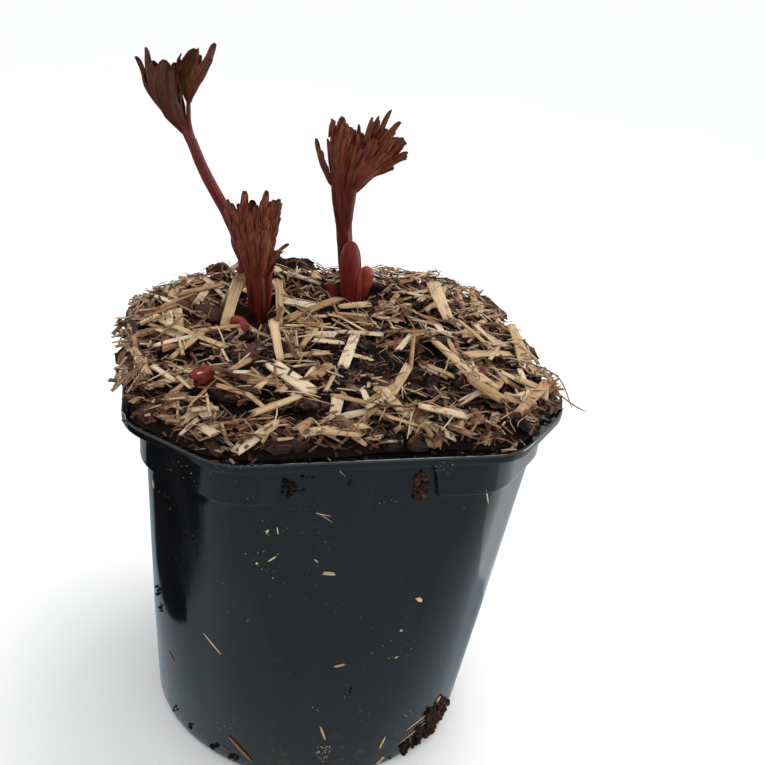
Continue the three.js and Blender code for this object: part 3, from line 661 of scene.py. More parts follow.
def fingers(draft, foot, rows, rng, each, front=(0.0, 0.0, -1.0), shade=0.1, size=(5.0, 9.0)):
    """Small curled lobules that stand off the upper part of the lobes, inside their outline."""
    centre = np.mean([row[len(row) // 2] for row in rows], axis=0)
    for _, *points in rows:
        path = spline([stand(foot, *point) for point in points], 40)
        away = np.asarray(points[len(points) // 2], float) - centre
        out = unit(stand((0, 0, 0), *unit(0.4 * unit([away[0], 0, away[2]]) + np.asarray(front) * 1.2)))
        side = unit(np.cross(path[-1] - path[0], out))
        run = float(np.linalg.norm(np.diff(path, axis=0), axis=1).sum())
        for _ in range(each):
            length = rng.uniform(*size)
            at = rng.uniform(FINGERS_FROM, max(FINGERS_FROM + 0.05, 1.0 - 0.9 * length / run))
            k = int(at * 39)
            along = unit(path[min(39, k + 3)] - path[max(0, k - 3)])
            turn = rng.choice([-1, 1]) * rng.uniform(0.0, 0.32)
            start = path[k] + out * rng.uniform(0.4, 1.2) + side * rng.uniform(-1.0, 1.0)
            end = start + (along + side * turn + out * rng.uniform(0.0, 0.15)) * length
            hook = (out * rng.uniform(-0.3, 0.2) + side * turn - along * rng.uniform(0.0, 0.35)) * length * 0.3
            bow = lerp(start, end, 0.5) + out * rng.uniform(0.3, 1.2)
            lobe(draft, bezier(start, bow, end, 12, hook, 0.45), rng.uniform(1.3, 2.3), out, rng.random(), 1.5, 0.5,
                 12, 5, 0.15, (0.5, 0.7, 0.9, 1.0, 1.0, 0.95, 0.9, 0.75, 0.6, 0.3), 0.15, rng.uniform(0.0, 0.3),
                 rng.uniform(-0.9, 0.9), shade * rng.uniform(0.0, 2.0))


# Leaf, stem and bud materials

def leaf_material():
    s = Shade("young_leaf", Roughness=0.5)
    s.shader.inputs["Specular IOR Level"].default_value = 0.16
    along, across, tone, _ = s.values("look")
    outside, tip_dark, shade, _ = s.values("more")
    grain = s.values("grain")[3]
    edge = s.math("ABSOLUTE", across)
    blotch = s.noise(s.scaled(grain, (0.12, 0.35, 0.35)), 1.0, 4.0, 0.6)
    veins = s.noise(s.scaled(grain, (0.22, 1.7, 0.8)), 1.0, 4.0, 0.65)
    fine = s.noise(s.scaled(grain, (1.2, 3.5, 1.0)), 1.0, 3.0, 0.6)
    back = s.ramp(s.plus(s.times(blotch, 0.75), s.times(tone, 0.3)),
                  [(0.2, srgb(54, 20, 15)), (0.42, srgb(88, 34, 25)), (0.6, srgb(112, 46, 34)),
                   (0.78, srgb(100, 72, 32))])
    inside = s.ramp(s.plus(s.times(blotch, 0.8), s.times(tone, 0.2)),
                    [(0.25, srgb(62, 44, 18)), (0.5, srgb(92, 68, 28)), (0.75, srgb(116, 88, 40))])
    base = s.mix(outside, inside, back)
    # Olive shows in the furrows and red on the keel. The rims are red, lightened as painted highlight, and a dark
    # line of painted shade runs beside each rim
    furrow = s.times(s.span(s.math("ABSOLUTE", s.math("SUBTRACT", edge, 0.42)), 0.24, 0.0),
                    s.span(along, 0.1, 0.4))
    olive = s.span(s.noise(s.scaled(grain, (0.05, 0.2, 0.2)), 1.0, 2.0), 0.36, 0.6, 0.25, 1.0)
    base = s.mix(s.times(furrow, olive), base, srgb(98, 76, 30))
    base = s.tint(base, srgb(142, 76, 54), 0.4, veins, 0.5, 0.66)
    base = s.tint(base, srgb(36, 14, 10), 0.55, veins, 0.48, 0.36)
    # Painted shade: a dark line beside each rim
    base = s.mix(s.times(s.span(s.math("ABSOLUTE", s.math("SUBTRACT", edge, 0.74)), 0.14, 0.0), 0.7), base,
                 srgb(38, 15, 11))
    # The red rims, lightened as painted highlight
    base = s.tint(base, srgb(164, 66, 52), 0.9, edge, 0.86, 1.0)
    base = s.tint(base, srgb(136, 60, 46), 0.4, edge, 0.15, 0.0)
    base = s.mix(s.span(along, 0.3, 0.0, 0.0, 0.75), base, srgb(104, 34, 28))
    base = s.mix(s.times(s.span(along, 0.9, 1.0), tip_dark), base, srgb(42, 20, 18))
    # A piece's shade value darkens it with painted shade
    base = s.mix(shade, base, srgb(44, 24, 16))
    rough = s.span(fine, 0.3, 0.7, 0.38, 0.56)
    normal = s.bump(veins, 0.6, 0.0006)
    normal = s.bump(fine, 0.3, 0.0002, normal)
    return s.done(base, rough, normal)


def stem_material():
    s = Shade("young_stem", Roughness=0.45)
    s.shader.inputs["Specular IOR Level"].default_value = 0.2
    _, ridge, _, _ = s.values("look")
    grain = s.values("grain")[3]
    streaks = s.noise(s.scaled(grain, (0.05, 1.1, 1.1)), 1.0, 4.0, 0.6)
    patches = s.noise(s.scaled(grain, (0.1, 0.3, 0.3)), 1.0, 3.0, 0.5)
    pores = s.noise(s.scaled(grain, (1.2, 2.4, 2.4)), 1.0, 2.0, 0.5)
    base = s.ramp(patches, [(0.3, srgb(78, 20, 17)), (0.55, srgb(98, 31, 26)), (0.75, srgb(94, 45, 31))])
    base = s.tint(base, srgb(140, 64, 52), 0.45, streaks, 0.52, 0.7)
    base = s.tint(base, srgb(46, 11, 11), 0.6, streaks, 0.46, 0.32)
    # Painted shade: darker down the grooves between the ridges
    base = s.mix(s.span(ridge, 0.985, 0.90, 0.0, 0.75), base, srgb(36, 10, 10))
    base = s.tint(base, srgb(150, 84, 68), 0.3, pores, 0.64, 0.72)
    # A tube's shade value darkens it with painted shade
    base = s.mix(s.values("more")[1], base, srgb(40, 8, 8))
    rough = s.span(pores, 0.3, 0.7, 0.32, 0.5)
    normal = s.bump(streaks, 0.3, 0.0004)
    normal = s.bump(pores, 0.2, 0.0002, normal)
    return s.done(base, rough, normal)


def bud_material(name, deep, mid, rim):
    s = Shade(name, Roughness=0.5)
    s.shader.inputs["Specular IOR Level"].default_value = 0.2
    s.shader.inputs["Sheen Weight"].default_value = 0.12
    s.shader.inputs["Sheen Roughness"].default_value = 0.35
    s.shader.inputs["Sheen Tint"].default_value = (1.0, 0.6, 0.5, 1.0)
    _, across, tone, _ = s.values("look")
    grain = s.values("grain")[3]
    streaks = s.noise(s.scaled(grain, (0.08, 1.3, 1.3)), 1.0, 4.0, 0.6)
    cloud = s.noise(s.scaled(grain, (0.16, 0.3, 0.3)), 1.0, 3.0, 0.5)
    spots = s.noise(s.scaled(grain, (1.6, 2.2, 2.2)), 1.0, 2.0, 0.5)
    base = s.ramp(s.plus(s.times(cloud, 0.8), s.times(tone, 0.2)),
                  [(0.3, deep), (0.6, mid), (0.85, rim)])
    base = s.tint(base, rim, 0.2, streaks, 0.5, 0.68)
    on_scale = s.values("more")[0]
    base = s.mix(s.times(s.times(s.span(across, 0.25, 0.95), on_scale), 0.22), base, rim)
    base = s.tint(base, deep, 0.4, spots, 0.62, 0.7)
    normal = s.bump(streaks, 0.25, 0.0004)
    normal = s.bump(spots, 0.25, 0.0002, normal)
    return s.done(base, s.span(spots, 0.3, 0.7, 0.34, 0.5), normal)


# The three shoots

TALL_STEM = ((4.0, -3), (3.2, 6), (1.6, 14.6), (-0.7, 20), (-2.9, 25.4), (-5.6, 30.5), (-8.2, 35.8), (-11.3, 40.9),
             (-14.4, 45.9), (-17.3, 50.9), (-19.9, 55.9), (-22.3, 60.9), (-24.4, 65.9), (-26.4, 70.7))


def make_tall(stem_look, leaf_look):
    foot, rng = TALL_FOOT, np.random.default_rng(41)
    stem = Draft()
    path = [buried(foot, (6, -6.8))] + [stand(foot, across, up) for across, up in TALL_STEM]
    tube(stem, path, [4.2, 3.9, 3.6, 3.4, 3.2, 3.05, 3.0, 2.9, 2.8, 2.6], 70, 28, [(5, 0.05, 0.4), (9, 0.025, 2.0)],
         0.2)
    tube(stem, way(foot, (-24.2, 64, -0.6), (-26.9, 71, -0.6), (-30.4, 77), (-35, 84)),
         [1.6, 2.4, 2.3, 1.8], 26, 20, [(3, 0.08, 1.0), (7, 0.03, 0.0)], 0.5)
    tube(stem, way(foot, (-23.8, 64, 1), (-26.2, 71, 0.8), (-27.6, 79, 0.5), (-27.7, 91, 0)), [1.5, 1.8, 1.15, 1.0],
         26, 18, [(4, 0.08, 0.5)], 0.7)
    make("tall_stem", stem, stem_look, ["shoot_tall"], 60.0)
    head = Draft()
    # This head's lobes are darkened by painted shade, given as each call's shade value
    lobes(head, foot, [
        (6.5, (-30, 74, 0), (-41.5, 85, -1), (-49.3, 95, -1), (-51.5, 102, 0), (-54.3, 108.8, 0)),
        (9.0, (-30, 74, 0), (-40, 86.5, -4), (-46, 97.5, -5), (-48.4, 106, -3), (-48.7, 113.8, -1)),
        (9.5, (-29.8, 74, -1), (-37.5, 87, -6), (-41.8, 97, -8), (-43, 106, -7)),
        (8.6, (-29.6, 74, -1), (-35.2, 87, -6), (-37.4, 98, -8), (-37.8, 109.5, -5)),
        (5.6, (-29.6, 75, -1), (-33.9, 88, -4), (-34.6, 98, -5), (-34, 107, -5))],
        rng, (0, 0, -1), 1.2, 1.15, 1.0, 1, 0.66, 0, NARROW_ROOT)
    lobes(head, foot, [
        (8.5, (-30, 75, 1), (-41, 88, 4), (-46.5, 97, 5), (-47.5, 107, 5)),
        (9.0, (-30, 75, 1), (-37.5, 89, 7), (-41, 98, 9), (-42.5, 107, 8)),
        (6.2, (-30, 76, 1), (-34.8, 89, 5), (-35.6, 98, 7), (-36, 107, 7)),
        (3.2, (-32, 84, 2), (-32.4, 98, 2), (-32.9, 106.5, 2), (-31.7, 112.5, 2))],
        rng, (0, 0, 1), 1.2, 1.1, 1.0, 1, 0.7, 0, NARROW_ROOT)
    # The smaller bunch opens towards the front and shows its olive inside
    lobes(head, foot, [
        (9.4, (-27.8, 89, 1), (-29.2, 95, 3), (-30.2, 102, 5), (-28.6, 109, 5), (-25.2, 115.2, 3)),
        (6.5, (-27.5, 89, 1), (-25.6, 97, 3), (-23.5, 106, 5), (-22, 112, 4))],
        rng, (0, 0, 1), 1.1, 1.0, 0.6, 1, 0.35, 0, NARROW_ROOT)
    lobes(head, foot, [
        (3.4, (-27.2, 90, 0), (-25.5, 100, 0), (-23.5, 109, 1), (-23.0, 116, 1)),
        (5.0, (-27.4, 89, 0), (-23.9, 97, -3), (-19.6, 105, -3), (-16.5, 112, -1), (-14.3, 119, 0)),
        (5.2, (-27.6, 89, 0), (-26.2, 95.5, -3), (-23.6, 102, -4), (-20.5, 109, -3)),
        (3.6, (-27.4, 89, -1), (-22.6, 98, -3), (-18.2, 105.5, -3), (-15.2, 111.8, -2)),
        (3.4, (-27.4, 89, 1), (-22.9, 99, 1), (-19.2, 107.5, 1), (-17.0, 113.4, 1))],
        rng, (0.3, 0, -1), 1.1, 1.2, 0.6, 1, 0.45, 0, NARROW_ROOT)
    # The core inside the head, darkened by painted shade
    tube(head, way(foot, (-30.5, 76), (-36.5, 87), (-40.5, 96), (-42, 102)),
         [1.8, 4.6, 5.6, 2.0], 18, 20, [(5, 0.16, 0.3), (8, 0.08, 1.0)], 0.9, deep=0.85)
    make("tall_leaves", head, leaf_look, ["shoot_tall"], 60.0)


def make_low(stem_look, leaf_look):
    foot, rng = LOW_FOOT, np.random.default_rng(42)
    stem = Draft()
    stalks = [(-3.2, -1.6, -7, 32), (0.8, -3.2, -1, 32), (3.6, -0.4, 4.5, 33), (0, 3.4, 0, 36), (-1.8, -3.0, -4, 31)]
    for k, (x, back, top_x, top) in enumerate(stalks):
        tube(stem, [stand(foot, x * 0.4 + 0.8, -27, back * 0.4), stand(foot, x * 0.4 + 0.8, -8, back * 0.4),
                    stand(foot, x * 0.62 + 0.6, 3, back * 0.7), stand(foot, x * 1.02, 16, back * 1.1),
                    stand(foot, lerp(x, top_x, 0.5), 25, back * 1.2), stand(foot, top_x, top, back * 1.3)],
             [2.4, 2.5, 2.8, 3.1, 2.9, 2.4, 1.6], 44, 22, [(3, 0.08, k), (7, 0.03, 0.7 * k)], 0.15 + 0.17 * k)
    tube(stem, way(foot, (0.8, -30), (0.5, 6), (0, 27)), [3.2, 3.8, 4.4], 24, 24, [(5, 0.05, 0)], 0.4)
    # Bud scales at the foot, with their small blunt tips standing off
    for across, up, back, height, width, tone in ((-4.4, -5, -1.5, 12, 7.5, 0.3), (1.6, -6, -5.2, 15, 8.0, 0.6),
                                                  (5.2, -5, -0.5, 10, 7, 0.8), (-2.4, -6, -5.0, 8, 7.5, 0.1)):
        start, end = stand(foot, across * 0.5 + 0.8, up, back * 0.6), stand(foot, across * 0.97, height, back)
        out = unit(stand((0, 0, 0), across, 0, back))
        lobe(stem, bezier(start, lerp(start, end, 0.5) + out * 1.0, end, 18, out * 0.5), width, out, tone, 1.0,
             0.9, 18, 9, 0.15, (0.9, 1.0, 1.0, 0.97, 0.88, 0.78, 0.68, 0.5, 0.32, 0.14), 0.1, 0)
    make("low_stalks", stem, stem_look, ["shoot_low"], 60.0)
    head = Draft()
    lobes(head, foot, [
        (5.5, (-5, 21, -1), (-9, 33, -1), (-13.5, 46, -1), (-17.2, 59.8, 0)),
        (6.0, (-4.5, 21, -3), (-8.5, 33, -5), (-12, 46, -5), (-14.6, 59.2, -3)),
        (5.5, (-4, 22, -4), (-7, 34, -7), (-9.3, 47, -6), (-8.4, 65.6, -2)),
        (6.0, (-3, 22, -4), (-5.5, 34, -8), (-7.8, 46, -8), (-11, 57.5, -6)),
        (5.5, (-4, 22, 0), (-7.5, 34, 3), (-10.5, 46, 4), (-13, 57, 4))], rng, (0, 0, -1), 1.15, 1.3, 1.2, 2)
    lobes(head, foot, [
        (6.5, (-2, 21, -5), (-3, 33, -9), (-4, 45, -10), (-5, 57.8, -8)),
        (6.0, (-1, 22, -5), (-1, 34, -9), (-1.6, 46, -9), (-2, 60.5, -6)),
        (6.0, (0, 22, -5), (1.2, 34, -9), (1.5, 46, -9), (2.4, 67.2, -3)),
        (6.0, (1, 21, -5), (3.2, 33, -9), (4, 45, -9), (5.2, 62.5, -5)),
        (6.5, (3, 22, -3), (5.5, 34, -6), (6.3, 46, -6), (9.0, 63.4, -2)),
        (6.0, (4, 22, 0), (6.2, 34, -1), (6.8, 46, 0), (7.5, 60, 2)),
        (6.0, (0, 22, -4), (0.5, 33, -7), (0.2, 45, -6), (-0.4, 58, -2)),
        (6.0, (2, 22, -4), (4, 33, -6), (4.8, 45, -5), (5.8, 58, 0))], rng, (0, 0, -1), 1.15, 1.3, 1.6, 2)
    lobes(head, foot, [
        (6.5, (-3, 22, 3), (-5, 34, 7), (-6, 46, 8), (-6, 59, 7)),
        (6.5, (0, 22, 4), (0, 34, 9), (0, 46, 10), (0, 60, 8)),
        (6.5, (3, 22, 3), (4.5, 34, 7), (5, 46, 8), (5.5, 60, 7))], rng, (0, 0, 1), 1.15, 1.3, 1.0, 2)
    lobes(head, foot, [
        (3.0, (4.5, 26, -2), (7, 33, -4), (9.8, 37, -4), (14.6, 41.2, -2)),
        (2.8, (4.5, 25, -3), (7.2, 32, -6), (9.3, 36, -6), (11.5, 39.8, -4)),
        (2.8, (4.5, 24, -2), (6.8, 28, -3), (8.6, 31.7, -3))], rng, (0.6, 0, -0.6), 1.1, 1.2, 0.3, 0, 0.1, 0)
    # The cores inside the head, darkened by painted shade
    tube(head, way(foot, (-6, 24), (-9.5, 38), (-12, 54)), [2.0, 5.0, 2.6], 16, 18,
         [(5, 0.14, 0.3)], 0.9, deep=0.8)
    tube(head, way(foot, (1, 24), (1.5, 40), (2, 57)), [2.5, 6.2, 3.6], 16, 20,
         [(6, 0.14, 0.3)], 0.8, deep=0.8)
    make("low_leaves", head, leaf_look, ["shoot_low"], 60.0)


def make_right(stem_look, leaf_look):
    foot, rng = RIGHT_FOOT, np.random.default_rng(43)
    stem = Draft()
    # These stalks are darkened by painted shade (0.22)
    tube(stem, [buried(foot), stand(foot, 0, -2), stand(foot, -3.2, 22), stand(foot, -4.6, 34), stand(foot, -5.8, 46),
                stand(foot, -6.4, 56), stand(foot, -6, 63)], [4.3, 4.2, 4.0, 4.0, 4.2, 4.0, 2.4], 60, 28,
         [(4, 0.06, 0.6), (9, 0.03, 1.0)], 0.3, 0.22)
    tube(stem, way(foot, (-5.4, 30, -0.6), (-7.4, 41, -1.5), (-9.0, 50, -2), (-10.2, 58, -2), (-10.8, 64, -2)),
         [1.6, 2.6, 2.8, 3.0, 2.4], 30, 18, [(4, 0.07, 0.5)], 0.6, 0.22)
    tube(stem, way(foot, (-3.6, 30, -0.8), (-3.2, 41, -2), (-2.9, 50, -2.5), (-2.2, 58, -2.5), (0, 63, -2)),
         [1.6, 2.6, 2.8, 3.0, 2.4], 30, 18, [(4, 0.07, 0.2)], 0.8, 0.22)
    make("right_stem", stem, stem_look, ["shoot_right"], 60.0)
    head = Draft()
    lobes(head, foot, [(4.0, (-11.5, 57, -1), (-14.8, 61, -2), (-18.4, 68.5, -3), (-21.4, 76, -2), (-22.8, 82.2, -2)),
                       (3.0, (-11, 58, 0), (-15, 64, 0), (-18, 70, 0), (-19.6, 76, 0))], rng, (-0.5, 0, -1), 1.1, 1.2,
                       0.2, 0, 0.1, 0)
    lobes(head, foot, [
        (6.0, (-10.5, 55, -1), (-14.2, 67, -1), (-15.2, 79, -1), (-15.6, 92.4, 0)),
        (6.0, (-9.5, 55, -3), (-11.8, 67, -5), (-12.4, 79, -6), (-9.8, 94.4, -2)),
        (6.0, (-8.5, 55, -3), (-9.2, 67, -7), (-9.6, 79, -8), (-8, 92, -5)),
        (6.0, (-7.5, 55, -3), (-6.8, 67, -7), (-7, 79, -8), (-5, 90.4, -5)),
        (6.0, (-6.5, 55, -3), (-5, 67, -6), (-4.8, 79, -6), (-3, 89, -4)),
        (6.0, (-8.5, 56, 1), (-10, 68, 4), (-10.5, 80, 5), (-10.5, 90, 3))], rng, (0, 0, -1), 1.15, 1.3, 1.2, 1)
    lobes(head, foot, [
        (6.0, (-5, 56, -3), (-3, 67, -6), (-2, 77, -7), (0.5, 88, -5)),
        (6.0, (-4, 56, -2), (-0.5, 68, -4), (1.8, 80, -4), (5, 95.6, -1)),
        (6.0, (-3.5, 56, 0), (1, 68, -1), (4.6, 80, -1), (8.5, 96.2, 0)),
        (6.0, (-3, 56, 0), (3, 68, 1), (8, 80, 1), (14.4, 99.6, 1)),
        (6.8, (-2.5, 56, -2), (4.5, 67, -4), (11, 79, -4), (19.8, 94.8, -2)),
        (6.2, (-2, 56, -3), (5.5, 66, -7), (12.5, 76, -8), (18.2, 87.4, -6)),
        (5.8, (-1.5, 56, -1), (7, 66, -3), (14.5, 76, -3), (22.4, 86.4, -1)),
        (5.8, (-1.5, 57, 0), (7, 66.5, 0), (15.5, 75, 0), (23.8, 84.2, 1)),
        (6.2, (-1, 57, -2), (7.5, 66, -5), (15.5, 72.8, -5), (25, 80.2, -3)),
        (4.4, (-1.5, 58, -1), (4.5, 64, -3), (10.5, 68.2, -3), (17.8, 71.4, -2)),
        (7.0, (-3, 58, -4), (1.5, 67, -9), (5.5, 77, -10), (9, 86, -8)),
        (7.0, (-1.5, 58, -4), (4.5, 66, -9), (9.5, 73, -10), (14.5, 80, -8)),
        (5.5, (-5, 57, -1), (-3.6, 68, 0), (-2.8, 79, 1), (-1.6, 91, 1)),
        (6.5, (-5, 57, -4), (-3, 66, -9), (-1, 75, -9), (0.5, 84, -8))],
        rng, (0, 0, -1), 1.15, 1.3, 1.6, 1, 0.0, 3, size=(7.0, 12.0))
    lobes(head, foot, [
        (7.0, (-3, 57, 2), (0, 68, 6), (2, 79, 7), (4, 90, 6)),
        (7.0, (-2, 57, 2), (4.5, 67, 7), (9, 77, 8), (13, 89, 7)),
        (7.0, (-2, 58, 2), (6, 67, 6), (12.5, 75, 7), (19.5, 83, 6))], rng, (0, 0, 1), 1.15, 1.3, 1.0, 2)
    # The cores inside the head, darkened by painted shade
    tube(head, way(foot, (-9.5, 58), (-9.8, 70), (-9.5, 84)), [2.4, 4.6, 2.4], 14, 16,
         [(5, 0.14, 0.3)], 0.9, deep=0.8)
    tube(head, way(foot, (-2, 57), (4.5, 71), (10, 84)), [2.8, 6.8, 3.0], 16, 22,
         [(7, 0.12, 0.3)], 0.8, deep=0.8)
    make("right_leaves", head, leaf_look, ["shoot_right"], 60.0)


# The four buds

def make_bud(name, node, foot, radius, height, blunt, lean, look, scales, base=0.0, slim=0.86):
    """A blunt bud with scales wrapped round it.

    Each scale is (direction, half angle, share of height, tone).
    """
    draft = Draft()
    path = spline([stand(foot, base * 1.5, CROWN_TOP - 4 - foot[2]), stand(foot, base, -2),
                   stand(foot, lerp(base, lean[0], 0.5), height * 0.45, lean[1] * 0.5),
                   stand(foot, lean[0] * 0.9, height * 0.8, lean[1] * 0.9), stand(foot, lean[0], height, lean[1])],
                   54)
    ground = foot[2] - 4
    share = np.clip((path[:, 2] - ground) / (path[-1, 2] - ground), 0, 1)
    radii = radius * np.minimum(lerp(slim, 1.0, np.minimum(1, share * 2.0)), 1 - 0.06 * share)
    radii = radii * np.maximum(0.02, 1 - share ** blunt) ** 0.5
    tube(draft, path, radii, 54, 30, [(3, 0.03, 0.5), (7, 0.012, 1.0)], 0.3)
    east, north = stand((0, 0, 0), 1, 0, 0), stand((0, 0, 0), 0, 0, 1)
    for direction, half_angle, top, tone in scales:
        rows, columns = 26, 13
        wanted = np.linspace(0.02, top, rows)
        k = np.interp(wanted, share, np.arange(len(share)))
        low = np.floor(k).astype(int).clip(0, len(path) - 2)
        centre = lerp(path[low], path[low + 1], (k - low)[:, None])
        r = lerp(radii[low], radii[low + 1], k - low)
        u = np.linspace(0, 1, rows)
        spread = math.radians(half_angle) * (1 - u ** 3.5) ** 0.6 + 0.02
        s = np.linspace(-1, 1, columns)
        angle = math.radians(direction) + spread[:, None] * s[None]
        dome = np.concatenate([[0], np.diff(r)]) / np.maximum(1e-6, np.concatenate([[1], np.diff(centre[:, 2])]))
        outward = east * np.cos(angle)[..., None] + north * np.sin(angle)[..., None]
        outward = outward + np.array([0, 0, 1.0]) * np.clip(-dome, 0, 1.5)[:, None, None]
        outward /= np.linalg.norm(outward, axis=-1, keepdims=True)
        lift = 0.2 + 0.05 * np.abs(s[None]) ** 4 + 0.12 * u[:, None] ** 6
        skin = (centre[:, None]
                + (east * np.cos(angle)[..., None] + north * np.sin(angle)[..., None]) * r[:, None, None])
        outer, inner = skin + outward * lift[..., None], skin + outward * (lift - 0.45)[..., None]
        ring = np.concatenate([outer, inner[:, ::-1]], 1)
        count = 2 * columns
        around = np.concatenate([s, s[::-1]])
        uu, ss = (np.broadcast_to(a, (rows, count)).reshape(-1) for a in (u[:, None], around[None]))
        points = ring.reshape(-1, 3)
        faces = [net(rows, count, True), [list(range(count))], [list(range((rows - 1) * count, rows * count))]]
        grain = np.stack([uu * height + tone * 500, ss * radius * 1.5, np.full(len(uu), tone * 90)], -1)
        edge = np.maximum(np.abs(ss) ** 3, uu ** 6)
        draft.add(points, faces, grain, np.stack([uu, edge, np.full(len(uu), tone)], -1), (1, 0, 0))
    return make(name, draft, look, [node], 60.0)


def make_buds():
    deep = bud_material("dark_bud", srgb(84, 13, 13), srgb(104, 22, 20), srgb(140, 58, 46))
    pink = bud_material("pink_bud", srgb(122, 40, 33), srgb(142, 56, 45), srgb(172, 90, 72))
    rose = bud_material("rose_bud", srgb(108, 26, 28), srgb(128, 38, 40), srgb(158, 70, 64))
    make_bud("dark_bud", "bud_dark", DARK_FOOT, 5.8, 33.0, 8.0, (-2.6, 0), deep,
             [(185, 85, 0.80, 0.2), (20, 75, 0.72, 0.6), (262, 40, 0.2, 0.9)])
    make_bud("blunt_bud", "bud_blunt", BLUNT_FOOT, 4.7, 15.2, 9.0, (-1.6, -0.6), pink,
             [(215, 80, 0.9, 0.3), (335, 70, 0.98, 0.7), (90, 80, 0.95, 0.5)], -3.0, 0.6)
    make_bud("small_bud", "bud_small", SMALL_FOOT, 3.0, 6.5, 3.0, (-2.5, -1), rose,
             [(240, 80, 0.9, 0.4), (40, 80, 0.85, 0.6)])
    make_bud("rose_bud", "bud_pink", PINK_FOOT, 5.2, 9.6, 2.6, (-2.6, -3), rose,
             [(190, 80, 0.95, 0.3), (340, 75, 0.88, 0.7)])


# The mulch: a heap that pieces come down on one after the other

HEAP_HALF = 114
BED_REACH = 0.985
BED_ROUND = 0.05
BED_EDGE = 200.6
BED_WANDER = 0.006
LIP_FREE = 0.035
LIP_FREE_MIDDLE = (25, -97)
LIP_FREE_SPREAD = 45
LOW_CORNER = (-62, 78)
LOW_SPREAD = 42
PALE_CORNER = (-60, 58)
PALE_SPREAD = 48
OVERHANG_PIECES = 130
OVERHANG_X = (-101.5, -93.5)
OVERHANG_Y = (-46, 24)
LEAST_HEIGHT = 2.5
OUTSIDE = 120.0
FEET = ((TALL_FOOT, 5.5), (LOW_FOOT, 7.0), (RIGHT_FOOT, 5.5), (DARK_FOOT, 7.5), (BLUNT_FOOT, 5.6), (SMALL_FOOT, 4.0),
        (PINK_FOOT, 8.5))
BED, STRAW, BARK = 0, 1, 2


def lip_shows(x, y):
    """Where the lip stays free of mulch: in the middle of the front."""
    middle = LIP_FREE_MIDDLE
    return np.exp(-((x - middle[0]) ** 2 + (y - middle[1]) ** 2) / LIP_FREE_SPREAD ** 2)


def bed_end(x, y):
    """How far out the bed goes, with a wandering edge."""
    angle = np.arctan2(y, x)
    wander = BED_WANDER * (2 + np.sin(9 * angle + 1) + np.sin(23 * angle))
    return BED_REACH - LIP_FREE * lip_shows(x, y) - wander


class Heap:
    """The height of the mulch at every millimetre."""

    def __init__(self):
        axis = np.arange(-HEAP_HALF, HEAP_HALF + 1, dtype=float)
        x, y = np.meshgrid(axis, axis, indexing="ij")
        self.top = np.where(reach(x, y) < 1.0, bed_top(x, y), OUTSIDE)
        self.kind = np.full(x.shape, BED)

    def cells(self, x, y):
        size = 2 * HEAP_HALF
        return (np.clip(np.rint(x + HEAP_HALF).astype(int), 0, size),
                np.clip(np.rint(y + HEAP_HALF).astype(int), 0, size))

    def rest(self, x, y, turn, length, width, steep=0.45, lean=0.0):
        """Where a flat piece comes to lie: its middle's height, slope and roll. A lean lifts one end."""
        c, s = math.cos(turn), math.sin(turn)
        a = np.linspace(-0.46, 0.46, 10) * length
        b = np.array([-0.35, 0.0, 0.35]) * width
        px = x + a[:, None] * c - b[None] * s
        py = y + a[:, None] * s + b[None] * c
        height = self.top[self.cells(px, py)]
        high = height.max(1)
        left, right = a[:5], a[5:]
        slopes = (high[None, 5:] - high[:5, None]) / (right[None] - left[:, None])
        at_middle = high[:5, None] - slopes * left[:, None]
        i, j = np.unravel_index(np.argmax(at_middle), at_middle.shape)
        slope = float(np.clip(slopes[i, j], -steep, steep)) + lean
        rest = height - slope * a[:, None]
        roll = 0.5 * float(rest[:, 2].max() - rest[:, 0].max()) / (0.7 * width)
        roll = float(np.clip(roll, -0.35, 0.35))
        return float((rest - roll * b[None]).max()), slope, roll

    def cover(self, x, y, turn, length, width, top, slope, roll, kind=STRAW):
        c, s = math.cos(turn), math.sin(turn)
        a = np.arange(-length / 2, length / 2 + 0.01, 0.7)
        b = np.arange(-width / 2, width / 2 + 0.01, 0.7)
        px = x + a[:, None] * c - b[None] * s
        py = y + a[:, None] * s + b[None] * c
        level = top + slope * a[:, None] + roll * b[None]
        np.maximum.at(self.top, self.cells(px, py), level)
        self.kind[self.cells(px, py)] = kind


def bed_surface(x, y):
    """The dark bed with its crumbs and lumps."""
    rough = 0.9 * soft_noise(x, y, 5.0, 21) + 0.55 * soft_noise(x, y, 2.2, 22) + 0.3 * soft_noise(x, y, 1.1, 23)
    return bed(x, y) + rough


def bed_top(x, y):
    """The bed's top out to its edge, and the lip beyond it."""
    share = reach(x, y) / bed_end(x, y)
    crown = np.clip((1 - share) / BED_ROUND, 0, 1) ** 0.5
    return np.where(share < 1, lerp(BED_EDGE, bed_surface(x, y), crown), POT_HEIGHT)


def axes_of(turn, slope, roll):
    """The along, across and up directions of a piece that lies at an angle."""
    along = unit([math.cos(turn), math.sin(turn), slope])
    across = unit([-math.sin(turn), math.cos(turn), roll])
    up = unit(np.cross(along, across))
    return along, unit(np.cross(up, along)), up


